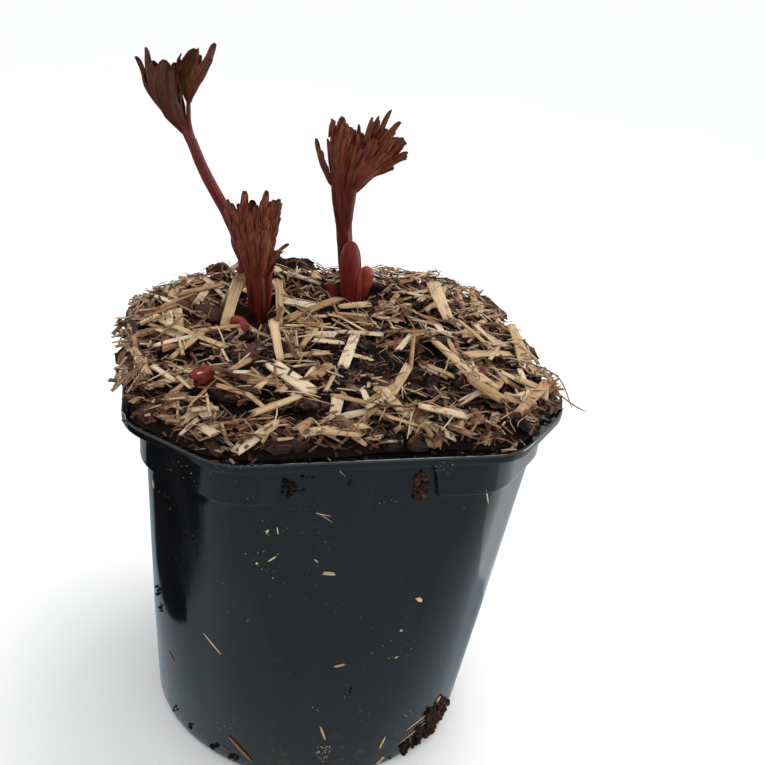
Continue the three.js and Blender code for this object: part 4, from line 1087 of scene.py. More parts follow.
def chip(draft, centre, axes, length, width, thick, rng, tone, age_and_shade, curve=0.0, arch=0.15, rows=7, columns=6, pith=0.0,
         ragged=1.0):
    """A split of straw: a thin curved strip with fibres along it and torn ends."""
    s = np.linspace(-1, 1, rows)[:, None]
    t = np.linspace(-1, 1, columns)[None, :]
    torn = ragged * rng.uniform(-1, 1, (2, columns))
    torn[:, 1:] = 0.55 * torn[:, 1:] + 0.45 * torn[:, :-1]
    shift = np.where(s < 0, torn[0] * -s, torn[1] * s) * np.abs(s) ** 3
    x = s * length / 2 + shift + 0 * t
    taper = rng.uniform(-0.22, 0.22)
    edge = 1 + 0.06 * rng.uniform(-1, 1, (rows, 1))
    y = t * width / 2 * (1 + taper * s) * edge
    ribs = 0.16 * thick * rng.uniform(-1, 1, (1, columns))
    z = arch * width * (1 - t ** 2) + curve * length * (1 - s ** 2) + ribs + 0 * s
    half = 0.5 * thick * (1 - 0.35 * np.abs(t) ** 3) * (1 - 0.5 * np.abs(s) ** 6)
    z = z - arch * width * 0.5 - curve * length * 0.5
    flat = np.stack([np.stack([x, y, z + half], -1), np.stack([x, y, z - half], -1)])
    ring = np.concatenate([flat[0], flat[1][:, ::-1]], 1)
    count = 2 * columns
    local = ring.reshape(-1, 3)
    points = np.asarray(centre) + local @ np.array(axes)
    ends = np.array([[*range(count)], [*range((rows - 1) * count, rows * count)]])
    pairs = []
    for end in ends:
        k = np.arange(columns - 1)
        pairs.append(np.stack([end[k], end[k + 1], end[count - 2 - k], end[count - 1 - k]], -1))
    offset = rng.uniform(-400, 400, 3)
    side = np.broadcast_to(np.concatenate([np.ones(columns), np.zeros(columns)]), (rows, count)).reshape(-1)
    ss = np.broadcast_to(s, (rows, count)).reshape(-1)
    more = np.stack([ss, side, np.full(len(ss), pith)], -1)
    draft.add(points, [net(rows, count, True), *pairs], local + offset, (tone, age_and_shade, rng.random()), more)


def strand(draft, centre, axes, length, radius, rng, tone, age_and_shade, bend=0.12, rows=7, sides=4):
    """A thin bent fibre."""
    s = np.linspace(-1, 1, rows)
    sway = rng.uniform(-1, 1, 4) * bend * length
    x = s * length / 2
    y = sway[0] * (1 - s ** 2) + sway[1] * 0.4 * np.sin(s * 3)
    z = abs(sway[2]) * 0.35 * (1 - s ** 2) + sway[3] * 0.15 * np.sin(s * 4)
    path = np.asarray(centre) + np.stack([x, y, z], -1) @ np.array(axes)
    _, across, up = frames(path, axes[1])
    angle = 2 * math.pi * np.arange(sides) / sides
    r = radius * (1 - 0.55 * np.abs(s) ** 3)[:, None]
    grid = (path[:, None] + across[:, None] * (r * np.cos(angle))[..., None]
            + up[:, None] * (r * np.sin(angle) * 0.7)[..., None])
    faces = [net(rows, sides, True), [list(range(sides))], [list(range((rows - 1) * sides, rows * sides))]]
    offset = rng.uniform(-400, 400, 3)
    local = np.stack([np.repeat(x, sides), np.tile(np.cos(angle), rows) * radius,
                      np.tile(np.sin(angle), rows) * radius], -1)
    draft.add(grid.reshape(-1, 3), faces, local + offset, (tone, age_and_shade, rng.random()), (0, 1, 0))


def slab(draft, centre, axes, length, width, thick, rng, tone, rows=9, sides=14):
    """A piece of bark: a rough block of layers with broken ends."""
    s = np.linspace(-1, 1, rows)
    angle = 2 * math.pi * (np.arange(sides) + 0.5) / sides
    shape = (1 - np.abs(s) ** 8) ** 0.5 * 0.6 + 0.4
    c, n = np.cos(angle), np.sin(angle)
    power = 0.4
    y = np.sign(c) * np.abs(c) ** power * width / 2
    z = np.sign(n) * np.abs(n) ** power * thick / 2
    key = rng.uniform(0, 900)
    u, v = s[:, None] * length / 2, angle[None] * (width + thick) / 5
    rough = 1 + 0.16 * soft_noise(u + key, v, 3.4, 31) + 0.12 * rng.uniform(-1, 1, (rows, sides))
    step = 1 + 0.22 * np.sign(np.sin(v * 6 + soft_noise(u + key, v, 5.0, 33) * 5))
    broken = rng.uniform(-1, 1, (2, sides)) * 0.12 * length
    ends = np.where(s[:, None] < 0, broken[0], broken[1]) * np.abs(s[:, None]) ** 4
    x = u + ends + 0 * v
    skew = rng.uniform(-0.35, 0.35)
    yy = y[None] * shape[:, None] * rough * (1 + skew * s[:, None])
    bow = 0.12 * thick * rng.uniform(-1, 1) * (1 - s[:, None] ** 2)
    zz = z[None] * shape[:, None] * rough * step + bow
    local = np.stack([x, yy, zz], -1).reshape(-1, 3)
    points = np.asarray(centre) + local @ np.array(axes)
    faces = [net(rows, sides, True), [list(range(sides))], [list(range((rows - 1) * sides, rows * sides))]]
    more = np.stack([np.repeat(s, sides), np.tile(n, rows), np.zeros(rows * sides)], -1)
    draft.add(points, faces, local + rng.uniform(-400, 400, 3), (tone, 0, rng.random()), more)


def ball_base():
    """A ball of twenty faces."""
    g = (1 + 5 ** 0.5) / 2
    points = np.array([(-1, g, 0), (1, g, 0), (-1, -g, 0), (1, -g, 0), (0, -1, g), (0, 1, g), (0, -1, -g), (0, 1, -g),
                       (g, 0, -1), (g, 0, 1), (-g, 0, -1), (-g, 0, 1)]) / math.hypot(1, g)
    faces = np.array([(0, 11, 5), (0, 5, 1), (0, 1, 7), (0, 7, 10), (0, 10, 11), (1, 5, 9), (5, 11, 4), (11, 10, 2),
                      (10, 7, 6), (7, 1, 8), (3, 9, 4), (3, 4, 2), (3, 2, 6), (3, 6, 8), (3, 8, 9), (4, 9, 5),
                      (2, 4, 11), (6, 2, 10), (8, 6, 7), (9, 8, 1)])
    return points, faces


BALL_POINTS, BALL_FACES = ball_base()


def crumb(draft, centre, size, rng, tone):
    shape = BALL_POINTS * rng.uniform(0.6, 1.25, (12, 1)) * size * rng.uniform(0.55, 1.2, 3)
    draft.add(np.asarray(centre) + shape, [BALL_FACES], shape + rng.uniform(-400, 400, 3), (tone, 0, rng.random()), 0)


# Places where little straw lies: middle, two radii and how much is left
BARE = ((9, -16, 17, 15, 0.02), (18, -37, 24, 14, 0.03), (-92, -22, 8, 14, 0.25), (-42, -80, 17, 10, 0.3),
        (20, 41, 17, 12, 0.04), (-33, 27, 12, 11, 0.04), (-40, 6, 11, 9, 0.06), (78, 70, 16, 12, 0.6),
        (-18, 84, 20, 12, 0.4), (-86, -62, 12, 8, 0.35), (46, -58, 13, 8, 0.35), (-3, 97, 14, 8, 0.25),
        (-12, -84, 12, 7, 0.35), (-66, 20, 10, 7, 0.4))


def straw_share(x, y):
    share = 1.0
    for cx, cy, rx, ry, left in BARE:
        inside = math.exp(-(((x - cx) / rx) ** 2 + ((y - cy) / ry) ** 2) ** 2)
        share *= lerp(1.0, left, inside)
    return share


def clear_of_feet(x, y, turn, length, room):
    """True where a line from end to end keeps away from every shoot."""
    c, s = math.cos(turn), math.sin(turn)
    for foot, own in FEET:
        dx, dy = foot[0] - x, foot[1] - y
        along = max(-length / 2, min(length / 2, dx * c + dy * s))
        if math.hypot(dx - along * c, dy - along * s) < own + room:
            return False
    return True


def drops(rng, count, lengths, widths, limit, sparse=True, room=1.0, aim=None):
    """Random places on the pot for pieces of a kind: (x, y, turn, length, width)."""
    found = 0
    while found < count:
        x, y = rng.uniform(-102, 102, 2)
        turn = rng.uniform(0, math.pi)
        length = lerp(lengths[0], lengths[1], rng.random() ** 1.5)
        width = rng.uniform(*widths)
        ends = [(x + k * math.cos(turn) * length / 2, y + k * math.sin(turn) * length / 2) for k in (-1, 0, 1)]
        if max(reach(ex, ey) for ex, ey in ends) > limit:
            continue
        if sparse and rng.random() > min(straw_share(ex, ey) for ex, ey in ends):
            continue
        if aim and rng.random() > aim(x, y):
            continue
        if not clear_of_feet(x, y, turn, length, room + width / 2):
            continue
        found += 1
        yield x, y, turn, length, width


# Pieces that stand out in the photograph: two ends in millimetres, a width and a tone
KNOWN_STRAW = (
    (-83, 7, -54, -25, 3.9, 0.15), (-79, -25, -64, -10, 3.4, 0.2), (-64, -36, -46, -59, 3.8, 0.1),
    (-32, -11, -31, -37, 4.6, 0.12), (-31, -38, -46, -73, 3.0, 0.2), (-30, -31, -8, -32, 4.2, 0.2),
    (-22, 11, 8, 31, 5.5, 0.35), (-37, -45, -21, -66, 8.7, 0.1), (-20, -57, -9, -41, 5.2, 0.35),
    (-21, 52, -25, 12, 4.3, 0.25), (-82, -63, -71, -52, 2.5, 0.3), (-77, -85, -69, -79, 2.8, 0.45),
    (-69, -83, -63, -94, 4.6, 0.3), (-13, -64, 8, -80, 4.2, 0.3), (-22, -94, -7, -97, 3.2, 0.25),
    (62, 45, 61, 8, 7.7, 0.08), (44, -20, 53, -57, 5.2, 0.15), (56, -33, 83, -27, 6.0, 0.2),
    (94, 4, 86, -39, 6.2, 0.2),
    (27, 2, 38, -30, 4.2, 0.45), (20, -84, 42, -84, 6.0, 0.3), (88, -60, 63, -88, 5.0, 0.3),
    (35, 48, 30, 14, 5.0, 0.35),
    (-62, -14, -50, 12, 3.6, 0.15), (46, -66, 62, -78, 6.5, 0.3), (-95, -20, -88, -44, 4.0, 0.25),
    (38, 20, 58, 6, 3.2, 0.5), (-60, 60, -48, 40, 3.2, 0.4), (-78, 44, -50, 52, 4.4, 0.35),
    (-90, 28, -66, 40, 4.0, 0.4),
    (-96, 18, -74, 22, 3.6, 0.5), (26, -48, 34, -22, 2.2, 0.35), (60, -6, 74, -22, 3.0, 0.25))

# Bark in the same way: a middle, length, width, thickness, turn and tone
KNOWN_BARK = (
    (-66, -51, 10, 8, 5, 0.3, 0.95), (75, 70, 26, 13, 6, 0.6, 0.3), (90, 16, 24, 9, 4, 2.3, 0.3),
    (-90, -24, 30, 11, 4, 1.9, 0.0), (-98, -2, 15, 8, 5, 0.9, 0.05), (-76, 26, 18, 9, 4, 0.4, 0.7),
    (-60, 24, 16, 10, 6, 2.6, 0.5), (-27, 100, 24, 12, 8, 0.2, 0.12), (-50, 96, 13, 9, 5, 0.7, 0.5),
    (-72, 90, 14, 5, 3, 1.0, 0.6), (96, 40, 20, 8, 5, 2.5, 0.45), (104, -8, 20, 6, 4, 2.3, 0.6),
    (56, -52, 12, 7, 5, 0.2, 0.9), (64, 30, 17, 12, 4, 2.4, 0.35), (-34, -92, 20, 10, 5, 0.2, 0.35),
    (-6, 96, 20, 11, 7, 2.9, 0.05), (84, -2, 22, 7, 4, 3.0, 0.6), (40, 62, 24, 7, 4, 2.6, 0.2),
    (-44, -30, 12, 8, 5, 1.4, 0.6), (98, 60, 14, 7, 4, 2.1, 0.4), (-88, -64, 9, 7, 5, 0.3, 0.5))


def lay_bark(heap):
    rng = np.random.default_rng(51)
    draft = Draft()
    rows = [(x, y, turn, length, width, thick, tone, 1.2) for x, y, length, width, thick, turn, tone in KNOWN_BARK]
    for x, y, turn, length, width in drops(rng, 110, (8, 20), (3.5, 8), 0.97, sparse=False, room=0.5):
        bare = straw_share(x, y) < 0.35
        tone = 0.12 * rng.random() if bare else 0.62 * rng.random() ** 1.3
        rows.append((x, y, turn, length, width, rng.uniform(2.0, 4.2), tone, 1.6))
    for x, y, turn, length, width, thick, tone, sink in reversed(rows):
        scale = min(1.0, 0.97 / float(reach(x, y)))
        x, y = x * scale, y * scale
        level, slope, roll = heap.rest(x, y, turn, length, width)
        slope, roll = slope + rng.uniform(-0.12, 0.12), roll + rng.uniform(-0.2, 0.2)
        middle = level + thick / 2 - sink
        slab(draft, (x, y, middle), axes_of(turn, slope, roll), length, width, thick, rng, tone)
        heap.cover(x, y, turn, length * 0.92, width * 0.9, middle + thick * 0.42, slope, roll, BARK)
    return draft


def height_limit(x, y, most):
    """How far loose pieces may rise over the bed. The back left stays low."""
    away = (x - LOW_CORNER[0]) ** 2 + (y - LOW_CORNER[1]) ** 2
    return most - 0.55 * most * math.exp(-away / LOW_SPREAD ** 2)


def lay_straw(heap):
    rng = np.random.default_rng(52)
    large, small, litter = Draft(), Draft(), Draft()

    def drop_chip(draft, x, y, turn, length, width, tone, age_and_shade, rows, columns, limit=9.0, sink=0.25, lean=0.0):
        thick = min(1.4, max(0.5, width * rng.uniform(0.14, 0.28)))
        level, slope, roll = heap.rest(x, y, turn, length, width, 0.45, lean)
        if level < POT_HEIGHT or level - float(bed(x, y)) > height_limit(x, y, limit):
            return
        if reach(x, y) > bed_end(x, y) and rng.random() < 1.5 * lip_shows(x, y):
            return
        arch = rng.uniform(0.02, 0.2)
        middle = level + thick * 0.5 + arch * width * 0.5 - sink
        pith = 1.0 if rng.random() < 0.2 else 0.0
        chip(draft, (x, y, middle), axes_of(turn, slope, roll), length, width, thick, rng, tone, age_and_shade,
             rng.uniform(-0.012, 0.02), arch, rows, columns, pith, min(2.2, 0.35 * width))
        heap.cover(x, y, turn, length, width * 0.9, middle + thick * 0.45, slope, roll)

    def edge(x, y):
        return 1.0 if 0.84 < float(reach(x, y)) else 0.0

    def rim_zone(x, y):
        return 1.0 if 0.89 < float(reach(x, y)) else 0.0

    def front_edge(x, y):
        return 1.0 if 0.8 < float(reach(x, y)) and y < -45 else 0.0

    # Coarse dark litter, then splits, with finer shreds between and over them. A kind is its draft, count,
    # lengths, widths, rows, columns, tones, age and painted shade (darker for the kinds laid first, which lie
    # deeper), limit, how far it sinks in and the share that leans.
    kinds = (
        (litter, 1700, (2.5, 7), (0.6, 1.8), 4, 3, (0.8, 1.0), 1.1, 0.99, 0.4, 0.1),
        (large, 100, (8, 18), (1.8, 4.4), 7, 5, (0.55, 0.95), 0.9, 0.975, 0.6, 0.2),
        (litter, 750, (3, 10), (0.5, 1.8), 4, 3, (0.45, 1.0), 0.8, 0.99, 0.4, 0.2),
        (large, 95, (10, 22), (2.2, 5.0), 7, 6, (0.2, 0.7), 0.4, 0.98, 0.5, 0.3),
        (small, 380, (3, 12), (0.5, 1.7), 4, 3, (0.15, 0.9), 0.45, 0.985, 0.3, 0.3),
        (large, 105, (13, 28), (2.4, 5.2), 7, 6, (0.0, 0.4), 0.12, 0.98, 0.5, 0.25))
    for draft, count, lengths, widths, rows, columns, tones, age_and_shade, limit, sink, leaning in kinds:
        for x, y, turn, length, width in drops(rng, count, lengths, widths, limit):
            away = (x - PALE_CORNER[0]) ** 2 + (y - PALE_CORNER[1]) ** 2
            paler = 0.34 * math.exp(-away / PALE_SPREAD ** 2)
            tone = max(0, lerp(*tones, rng.random()) - paler)
            lean = rng.uniform(-0.3, 0.3) if rng.random() < leaning else 0.0
            drop_chip(draft, x, y, turn, length, width, tone, age_and_shade * rng.uniform(0.5, 1.2), rows, columns, 8.5, sink,
                      lean)
    # Dark litter up to the lip
    for x, y, turn, length, width in drops(rng, 1000, (2, 7), (0.5, 1.6), 0.994, sparse=False, aim=edge):
        drop_chip(litter, x, y, turn, length, width, rng.uniform(0.5, 1.0), 0.8, 4, 3, 6.0, 0.3)
    # Splits and bits that lie right at the lip
    for x, y, turn, length, width in drops(rng, 46, (7, 17), (2.2, 4.6), 0.985, sparse=False, aim=front_edge):
        drop_chip(large, x, y, turn, length, width, rng.uniform(0.1, 0.75), 0.4, 7, 5, 7.0, 0.4)
    for x, y, turn, length, width in drops(rng, 620, (2.5, 9), (0.6, 2.2), 0.985, sparse=False, aim=rim_zone):
        drop_chip(small, x, y, turn, length, width, rng.uniform(0.2, 0.85), 0.5, 4, 3, 6.5, 0.3)
    for x1, y1, x2, y2, width, tone in KNOWN_STRAW:
        turn, length = math.atan2(y2 - y1, x2 - x1), math.hypot(x2 - x1, y2 - y1)
        drop_chip(large, (x1 + x2) / 2, (y1 + y2) / 2, turn, length, width * 0.88, tone + 0.05, 0.1, 9, 7, 99.0, 0.5)
    # Slender splints on top, some with one end up
    for x, y, turn, length, width in drops(rng, 130, (9, 24), (0.7, 1.9), 0.985):
        lean = rng.uniform(-0.35, 0.35) if rng.random() < 0.4 else 0.0
        drop_chip(small, x, y, turn, length, width, rng.uniform(0.05, 0.75), 0.3, 6, 3, 9.0, 0.2, lean)
    for x, y, turn, length, width in drops(rng, 300, (3, 10), (0.45, 1.3), 0.992):
        drop_chip(small, x, y, turn, length, width, rng.uniform(0.1, 1.0), 0.4, 4, 3, 9.5, 0.2)
    # A heap hangs over the lip on the left
    for _ in range(OVERHANG_PIECES):
        x, y = lerp(*OVERHANG_X, rng.random()), lerp(*OVERHANG_Y, rng.random())
        turn, length = math.pi / 2 + rng.uniform(-0.8, 0.8), rng.uniform(4, 13)
        drop_chip(small, x, y, turn, length, rng.uniform(0.7, 3.0), rng.uniform(0.2, 1.0), 0.6, 4, 3, 9.0, 0.3)
    # Two broad splits lean against the low shoot
    for low, high, width, tone in (((-52.5, 11, 208.5), (-44.6, 33, 225), 6.0, 0.2),
                                   ((-49.5, 40, 208), (-41.6, 37, 226.5), 7.0, 0.15)):
        low, high = np.array(low, float), np.array(high, float)
        along = unit(high - low)
        across = unit(np.cross(along, (0.35, -0.93, 0.3)))
        axes = (along, across, unit(np.cross(along, across)))
        chip(large, (low + high) / 2, axes, float(np.linalg.norm(high - low)) + 2, width, 0.9, rng, tone, 0.0,
             0.02, 0.12, 9, 7, 0.5, 2.0)
    return large, small, litter


def lay_fibres(heap):
    rng = np.random.default_rng(53)
    draft, fine = Draft(), Draft()
    for x, y, turn, length, width in drops(rng, 260, (5, 18), (0.4, 0.9), 1.0, room=0.3):
        level, slope, roll = heap.rest(x, y, turn, length, 1.0, 0.6)
        slope += rng.uniform(-0.15, 0.15)
        tone = rng.uniform(0.05, 0.5) if rng.random() < 0.75 else rng.uniform(0.5, 0.8)
        strand(draft, (x, y, level + width * 0.5), axes_of(turn, slope, roll), length, width / 2, rng, tone,
               rng.uniform(0, 0.5), 0.06)
    for x, y, turn, length, width in drops(rng, 130, (4, 12), (0.35, 0.7), 0.99, sparse=False, room=0.3):
        level, slope, roll = heap.rest(x, y, turn, length, 1.0, 0.6)
        strand(fine, (x, y, level + width * 0.5), axes_of(turn, slope + rng.uniform(-0.2, 0.2), roll), length,
               width / 2, rng, rng.uniform(0.3, 0.85), 0.5, 0.14)

    # Brown and pale threads in the bare places and along the lip
    def thin(x, y):
        return 1.0 if straw_share(x, y) < 0.5 or float(reach(x, y)) > 0.86 else 0.0

    for x, y, turn, length, width in drops(rng, 620, (2.5, 9), (0.3, 0.6), 0.99, sparse=False, room=0.2, aim=thin):
        level, slope, roll = heap.rest(x, y, turn, length, 1.0, 0.6)
        strand(fine, (x, y, level + width * 0.5), axes_of(turn, slope + rng.uniform(-0.35, 0.35), roll), length,
               width / 2, rng, rng.uniform(0.2, 0.95), 0.5, 0.16)
    # Long fibres that hang over the rim on the right
    for ends in (((98, -30, 206), (106, -36, 202.5), (109, -50, 193)),
                 ((97, -52, 204), (103, -60, 201), (107.5, -66, 200))):
        path = spline(ends, 12)
        fibre_path(draft, path, 0.42, 0.35)
    return draft, fine


def fibre_path(draft, path, radius, tone, sides=5):
    rows = len(path)
    _, across, up = frames(path)
    angle = 2 * math.pi * np.arange(sides) / sides
    s = np.linspace(-1, 1, rows)
    r = radius * (1 - 0.6 * np.abs(s) ** 3)[:, None]
    grid = (path[:, None] + across[:, None] * (r * np.cos(angle))[..., None]
            + up[:, None] * (r * np.sin(angle))[..., None])
    faces = [net(rows, sides, True), [list(range(sides))], [list(range((rows - 1) * sides, rows * sides))]]
    length = float(np.linalg.norm(np.diff(path, axis=0), axis=1).sum())
    grain = np.stack([np.repeat(s, sides) * length / 2, np.tile(np.cos(angle), rows), np.tile(np.sin(angle), rows)],
                     -1)
    draft.add(grid.reshape(-1, 3), faces, grain, (tone, 0.1, 0.5), (0, 1, 0))


def lay_crumbs(heap, count, seed, sizes, bare_only):
    rng = np.random.default_rng(seed)
    draft = Draft()
    done = 0
    while done < count:
        x, y = rng.uniform(-102, 102, 2)
        out = float(reach(x, y))
        if out > 0.995 or (bare_only and straw_share(x, y) > 0.62):
            continue
        if out > 0.95 and rng.random() < 0.6:
            continue
        size = lerp(sizes[0], sizes[1], rng.random() ** 3)
        i, j = heap.cells(np.array(x), np.array(y))
        if bare_only and heap.kind[i, j] != BED:
            continue
        level = float(heap.top[i, j])
        crumb(draft, (x, y, level + size * 0.25), size, rng, rng.random())
        done += 1
    return draft


def make_bed():
    """The bed itself: a lumpy top over the soil and the lip's inner part, closed below."""
    sectors = 8 * (CORNER_STEPS + 1 + FLAT_POINTS)
    outline = pot_ring(0, RIM[0], RIM[1], RIM[2])[:, :2]
    outline = outline * bed_end(outline[:, 0], outline[:, 1])[:, None]
    inner = pot_ring(0, *body_shape(1, WALL + 0.3))[:, :2]
    shares = np.concatenate([np.linspace(1, 0.9, 14), np.linspace(0.885, 0.03, 62)])
    rings = [np.concatenate([inner, np.full((sectors, 1), 194.5)], 1),
             np.concatenate([inner, np.full((sectors, 1), 200.15)], 1),
             np.concatenate([outline, np.full((sectors, 1), 200.12)], 1)]
    for share in shares:
        xy = outline * share
        z = bed_surface(xy[:, 0], xy[:, 1])
        crown = np.clip((1 - share) / BED_ROUND, 0, 1) ** 0.5
        rings.append(np.concatenate([xy, np.maximum(200.25, lerp(BED_EDGE, z, crown))[:, None]], 1))
    rings = np.array(rings)
    rows = len(rings)
    points = np.concatenate([rings.reshape(-1, 3), [[0, 0, 194.5], [0, 0, float(bed_surface(0, 0))]]])
    faces = [net(rows, sectors, True), fan(0, sectors, rows * sectors),
             fan((rows - 1) * sectors, sectors, rows * sectors + 1)]
    draft = Draft()
    draft.add(points, faces, points, 0, 0)
    return draft


# Dirt that sticks to the pot, where the photograph shows it: each place is cast onto the wall

# Two ends of a stick, its radius and its tone
STICKS = ((204, 633, 221, 654, 0.35, 0.0), (169, 651, 175, 662, 0.3, 0.5), (229, 736, 252, 761, 0.7, 0.5),
          (220, 744, 231, 752, 0.3, 0.6), (315, 513, 331, 516, 0.22, 0.15), (317, 512, 332, 522, 0.22, 0.35),
          (313, 443, 345, 476, 0.32, 0.3), (153, 480, 154, 488, 0.3, 0.05), (277, 527, 278, 534, 0.3, 0.05),
          (320, 726, 325, 739, 0.55, 0.2), (385, 736, 379, 748, 0.5, 0.1), (406, 730, 428, 713, 0.35, 0.1),
          (398, 744, 428, 720, 0.3, 0.2), (268, 561, 276, 556, 0.4, 0.0), (314, 559, 318, 562, 0.25, 0.1),
          (486, 490, 488, 503, 0.3, 0.0))
# A flake's place, length, width, turn and tone
FLAKES = ((328, 573, 6.0, 2.2, -0.3, 0.3), (340, 665, 6.0, 1.5, 0.1, 0.5), (419, 599, 3.6, 2.4, -0.9, 0.0),
          (401, 630, 1.8, 1.3, 0.4, 0.05), (396, 657, 2.0, 0.9, 0.5, 0.1), (257, 563, 1.5, 1.2, 0.0, 0.05),
          (267, 531, 1.6, 1.5, 0.8, 0.0), (438, 699, 4.0, 1.6, 0.6, 0.1), (380, 760, 6.0, 2.2, 0.9, 0.45),
          (441, 714, 4.0, 2.4, 0.7, 0.5), (436, 722, 3.0, 2.0, -0.4, 0.6))
# A clod's place, its two radii, how many crumbs, their largest size and their tone
CLODS = ((288, 487, 7, 10, 34, 1.3, 0.15), (310, 477, 12, 1.5, 12, 0.7, 0.1), (300, 490, 5, 1.5, 8, 0.6, 0.1),
         (420, 487, 7, 15, 70, 1.7, 0.75), (350, 483, 3, 3, 8, 0.8, 0.4), (442, 705, 6, 7, 40, 2.3, 0.7),
         (434, 718, 9, 9, 80, 3.0, 0.65), (424, 734, 10, 9, 80, 2.8, 0.6), (411, 748, 11, 8, 70, 2.4, 0.5),
         (398, 761, 11, 5, 50, 2.2, 0.5), (158, 590, 3, 6, 12, 1.2, 0.05), (161, 607, 2, 5, 8, 0.9, 0.05),
         (176, 709, 3, 3, 8, 1.0, 0.2), (191, 726, 3, 3, 8, 1.0, 0.2), (215, 747, 4, 3, 10, 1.2, 0.2),
         (234, 757, 5, 3, 14, 1.3, 0.3), (350, 690, 3, 2, 4, 0.8, 0.1), (291, 670, 12, 14, 12, 0.4, 0.6),
         (330, 505, 30, 12, 26, 0.35, 0.5))
# Pale specks in the same way
SPECKS = ((324, 752, 8, 10, 44, 0.5, 0.1), (446, 468, 12, 6, 12, 0.4, 0.0), (395, 503, 16, 3, 8, 0.4, 0.0),
          (262, 540, 26, 22, 14, 0.35, 0.0), (270, 572, 10, 6, 6, 0.4, 0.0), (316, 709, 5, 4, 6, 0.4, 0.0),
          (230, 726, 14, 12, 14, 0.35, 0.1), (418, 712, 14, 10, 18, 0.4, 0.1), (400, 620, 40, 60, 30, 0.3, 0.1),
          (300, 620, 70, 80, 40, 0.25, 0.2), (188, 470, 30, 14, 14, 0.3, 0.05))


def lay_dirt(pot):
    rng = np.random.default_rng(61)
    skin = BVHTree.FromPolygons([v.co[:] for v in pot.data.vertices], [p.vertices[:] for p in pot.data.polygons])
    clods, bits = Draft(), Draft()

    def wall(px, py):
        hit, normal, _, _ = skin.ray_cast(Vector(CAMERA_PLACE), Vector(sight(px, py)))
        return (None, None) if hit is None else (np.array(hit) / MM, np.array(normal))

    for x1, y1, x2, y2, radius, tone in STICKS:
        spots = [wall(lerp(x1, x2, share), lerp(y1, y2, share)) for share in (0, 0.33, 0.67, 1)]
        if all(point is not None for point, _ in spots):
            fibre_path(bits, spline([point + normal * radius * 0.7 for point, normal in spots], 9), radius, tone)
    for px, py, length, width, turn, tone in FLAKES:
        point, normal = wall(px, py)
        if point is None:
            continue
        along = CAMERA_RIGHT * math.cos(turn) + CAMERA_UP * math.sin(turn)
        along = unit(along - normal * np.dot(along, normal))
        axes = (along, np.cross(normal, along), normal)
        chip(bits, point + normal * 0.3, axes, length * 0.85, width * 0.8, 0.5, rng, tone, 0.25, 0.0, 0.1, 6, 5, 0.6,
             0.9)
    for places, draft in ((CLODS, clods), (SPECKS, bits)):
        for px, py, rx, ry, count, largest, tone in places:
            for _ in range(count):
                away, angle = rng.random() ** 0.5, rng.uniform(0, 2 * math.pi)
                point, normal = wall(px + rx * away * math.cos(angle), py + ry * away * math.sin(angle))
                if point is None or point[2] < LEAST_HEIGHT:
                    continue
                size = largest * rng.uniform(0.35, 1.0) * (1.0 if draft is clods else 0.75)
                shade = float(np.clip(tone + rng.uniform(-0.2, 0.2), 0, 1))
                crumb(draft, point + normal * size * 0.25, size, rng, shade)
    return clods, bits


# Mulch materials

def straw_material():
    s = Shade("straw", Roughness=0.6)
    s.shader.inputs["Specular IOR Level"].default_value = 0.2
    tone, age_and_shade, _, _ = s.values("look")
    along, side, pith, _ = s.values("more")
    grain = s.values("grain")[3]
    fibres = s.noise(s.scaled(grain, (0.05, 1.5, 1.0)), 1.0, 5.0, 0.75)
    broad = s.noise(s.scaled(grain, (0.05, 0.7, 0.5)), 1.0, 3.0, 0.6)
    specks = s.noise(s.scaled(grain, (1.2, 2.2, 2.0)), 1.0, 4.0, 0.6)
    shift = s.times(s.math("SUBTRACT", broad, 0.5), 0.5)
    base = s.ramp(s.plus(tone, shift),
                  [(0.0, srgb(210, 190, 156)), (0.2, srgb(188, 160, 120)), (0.42, srgb(152, 114, 78)),
                   (0.65, srgb(110, 70, 47)), (0.85, srgb(66, 36, 27)), (1.0, srgb(28, 18, 15))])
    base = s.tint(base, srgb(216, 194, 158), 0.35, fibres, 0.54, 0.68)
    base = s.tint(base, srgb(92, 58, 36), 0.7, fibres, 0.49, 0.36)
    # Some splits show their white pith
    white = s.times(s.times(pith, side), s.span(specks, 0.35, 0.5))
    base = s.mix(s.times(white, 0.5), base, srgb(222, 208, 182))
    end = s.span(s.math("ABSOLUTE", along), 0.8, 1.0)
    base = s.mix(s.times(end, 0.55), base, srgb(98, 62, 38))
    dirt = s.times(s.span(specks, 0.6, 0.72), s.plus(0.35, age_and_shade))
    base = s.mix(s.math("MINIMUM", dirt, 0.8), base, srgb(52, 32, 24))
    # Darker with age and painted shade: the pieces laid first lie deeper in the heap
    base = s.mix(s.times(age_and_shade, 0.62), base, srgb(56, 33, 23))
    normal = s.bump(fibres, 0.5, 0.0004)
    normal = s.bump(specks, 0.25, 0.0002, normal)
    return s.done(base, s.span(fibres, 0.3, 0.7, 0.5, 0.75), normal)


def bark_material():
    s = Shade("bark", Roughness=0.8)
    s.shader.inputs["Specular IOR Level"].default_value = 0.2
    tone, _, _, _ = s.values("look")
    grain = s.values("grain")[3]
    layers = s.noise(s.scaled(grain, (0.12, 0.5, 2.4)), 1.0, 5.0, 0.65)
    rough = s.noise(s.scaled(grain, (0.7, 1.0, 1.4)), 1.0, 5.0, 0.7)
    base = s.ramp(tone, [(0.0, srgb(18, 15, 15)), (0.3, srgb(40, 26, 22)), (0.55, srgb(66, 38, 29)),
                         (0.8, srgb(92, 44, 34)), (1.0, srgb(118, 34, 30))])
    base = s.tint(base, srgb(112, 70, 50), 0.4, layers, 0.52, 0.7)
    base = s.tint(base, srgb(14, 9, 8), 0.8, layers, 0.49, 0.36)
    base = s.tint(base, srgb(146, 104, 76), 0.35, rough, 0.62, 0.74)
    normal = s.bump(layers, 0.6, 0.0006)
    normal = s.bump(rough, 0.35, 0.0003, normal)
    return s.done(base, s.span(rough, 0.3, 0.7, 0.62, 0.9), normal)


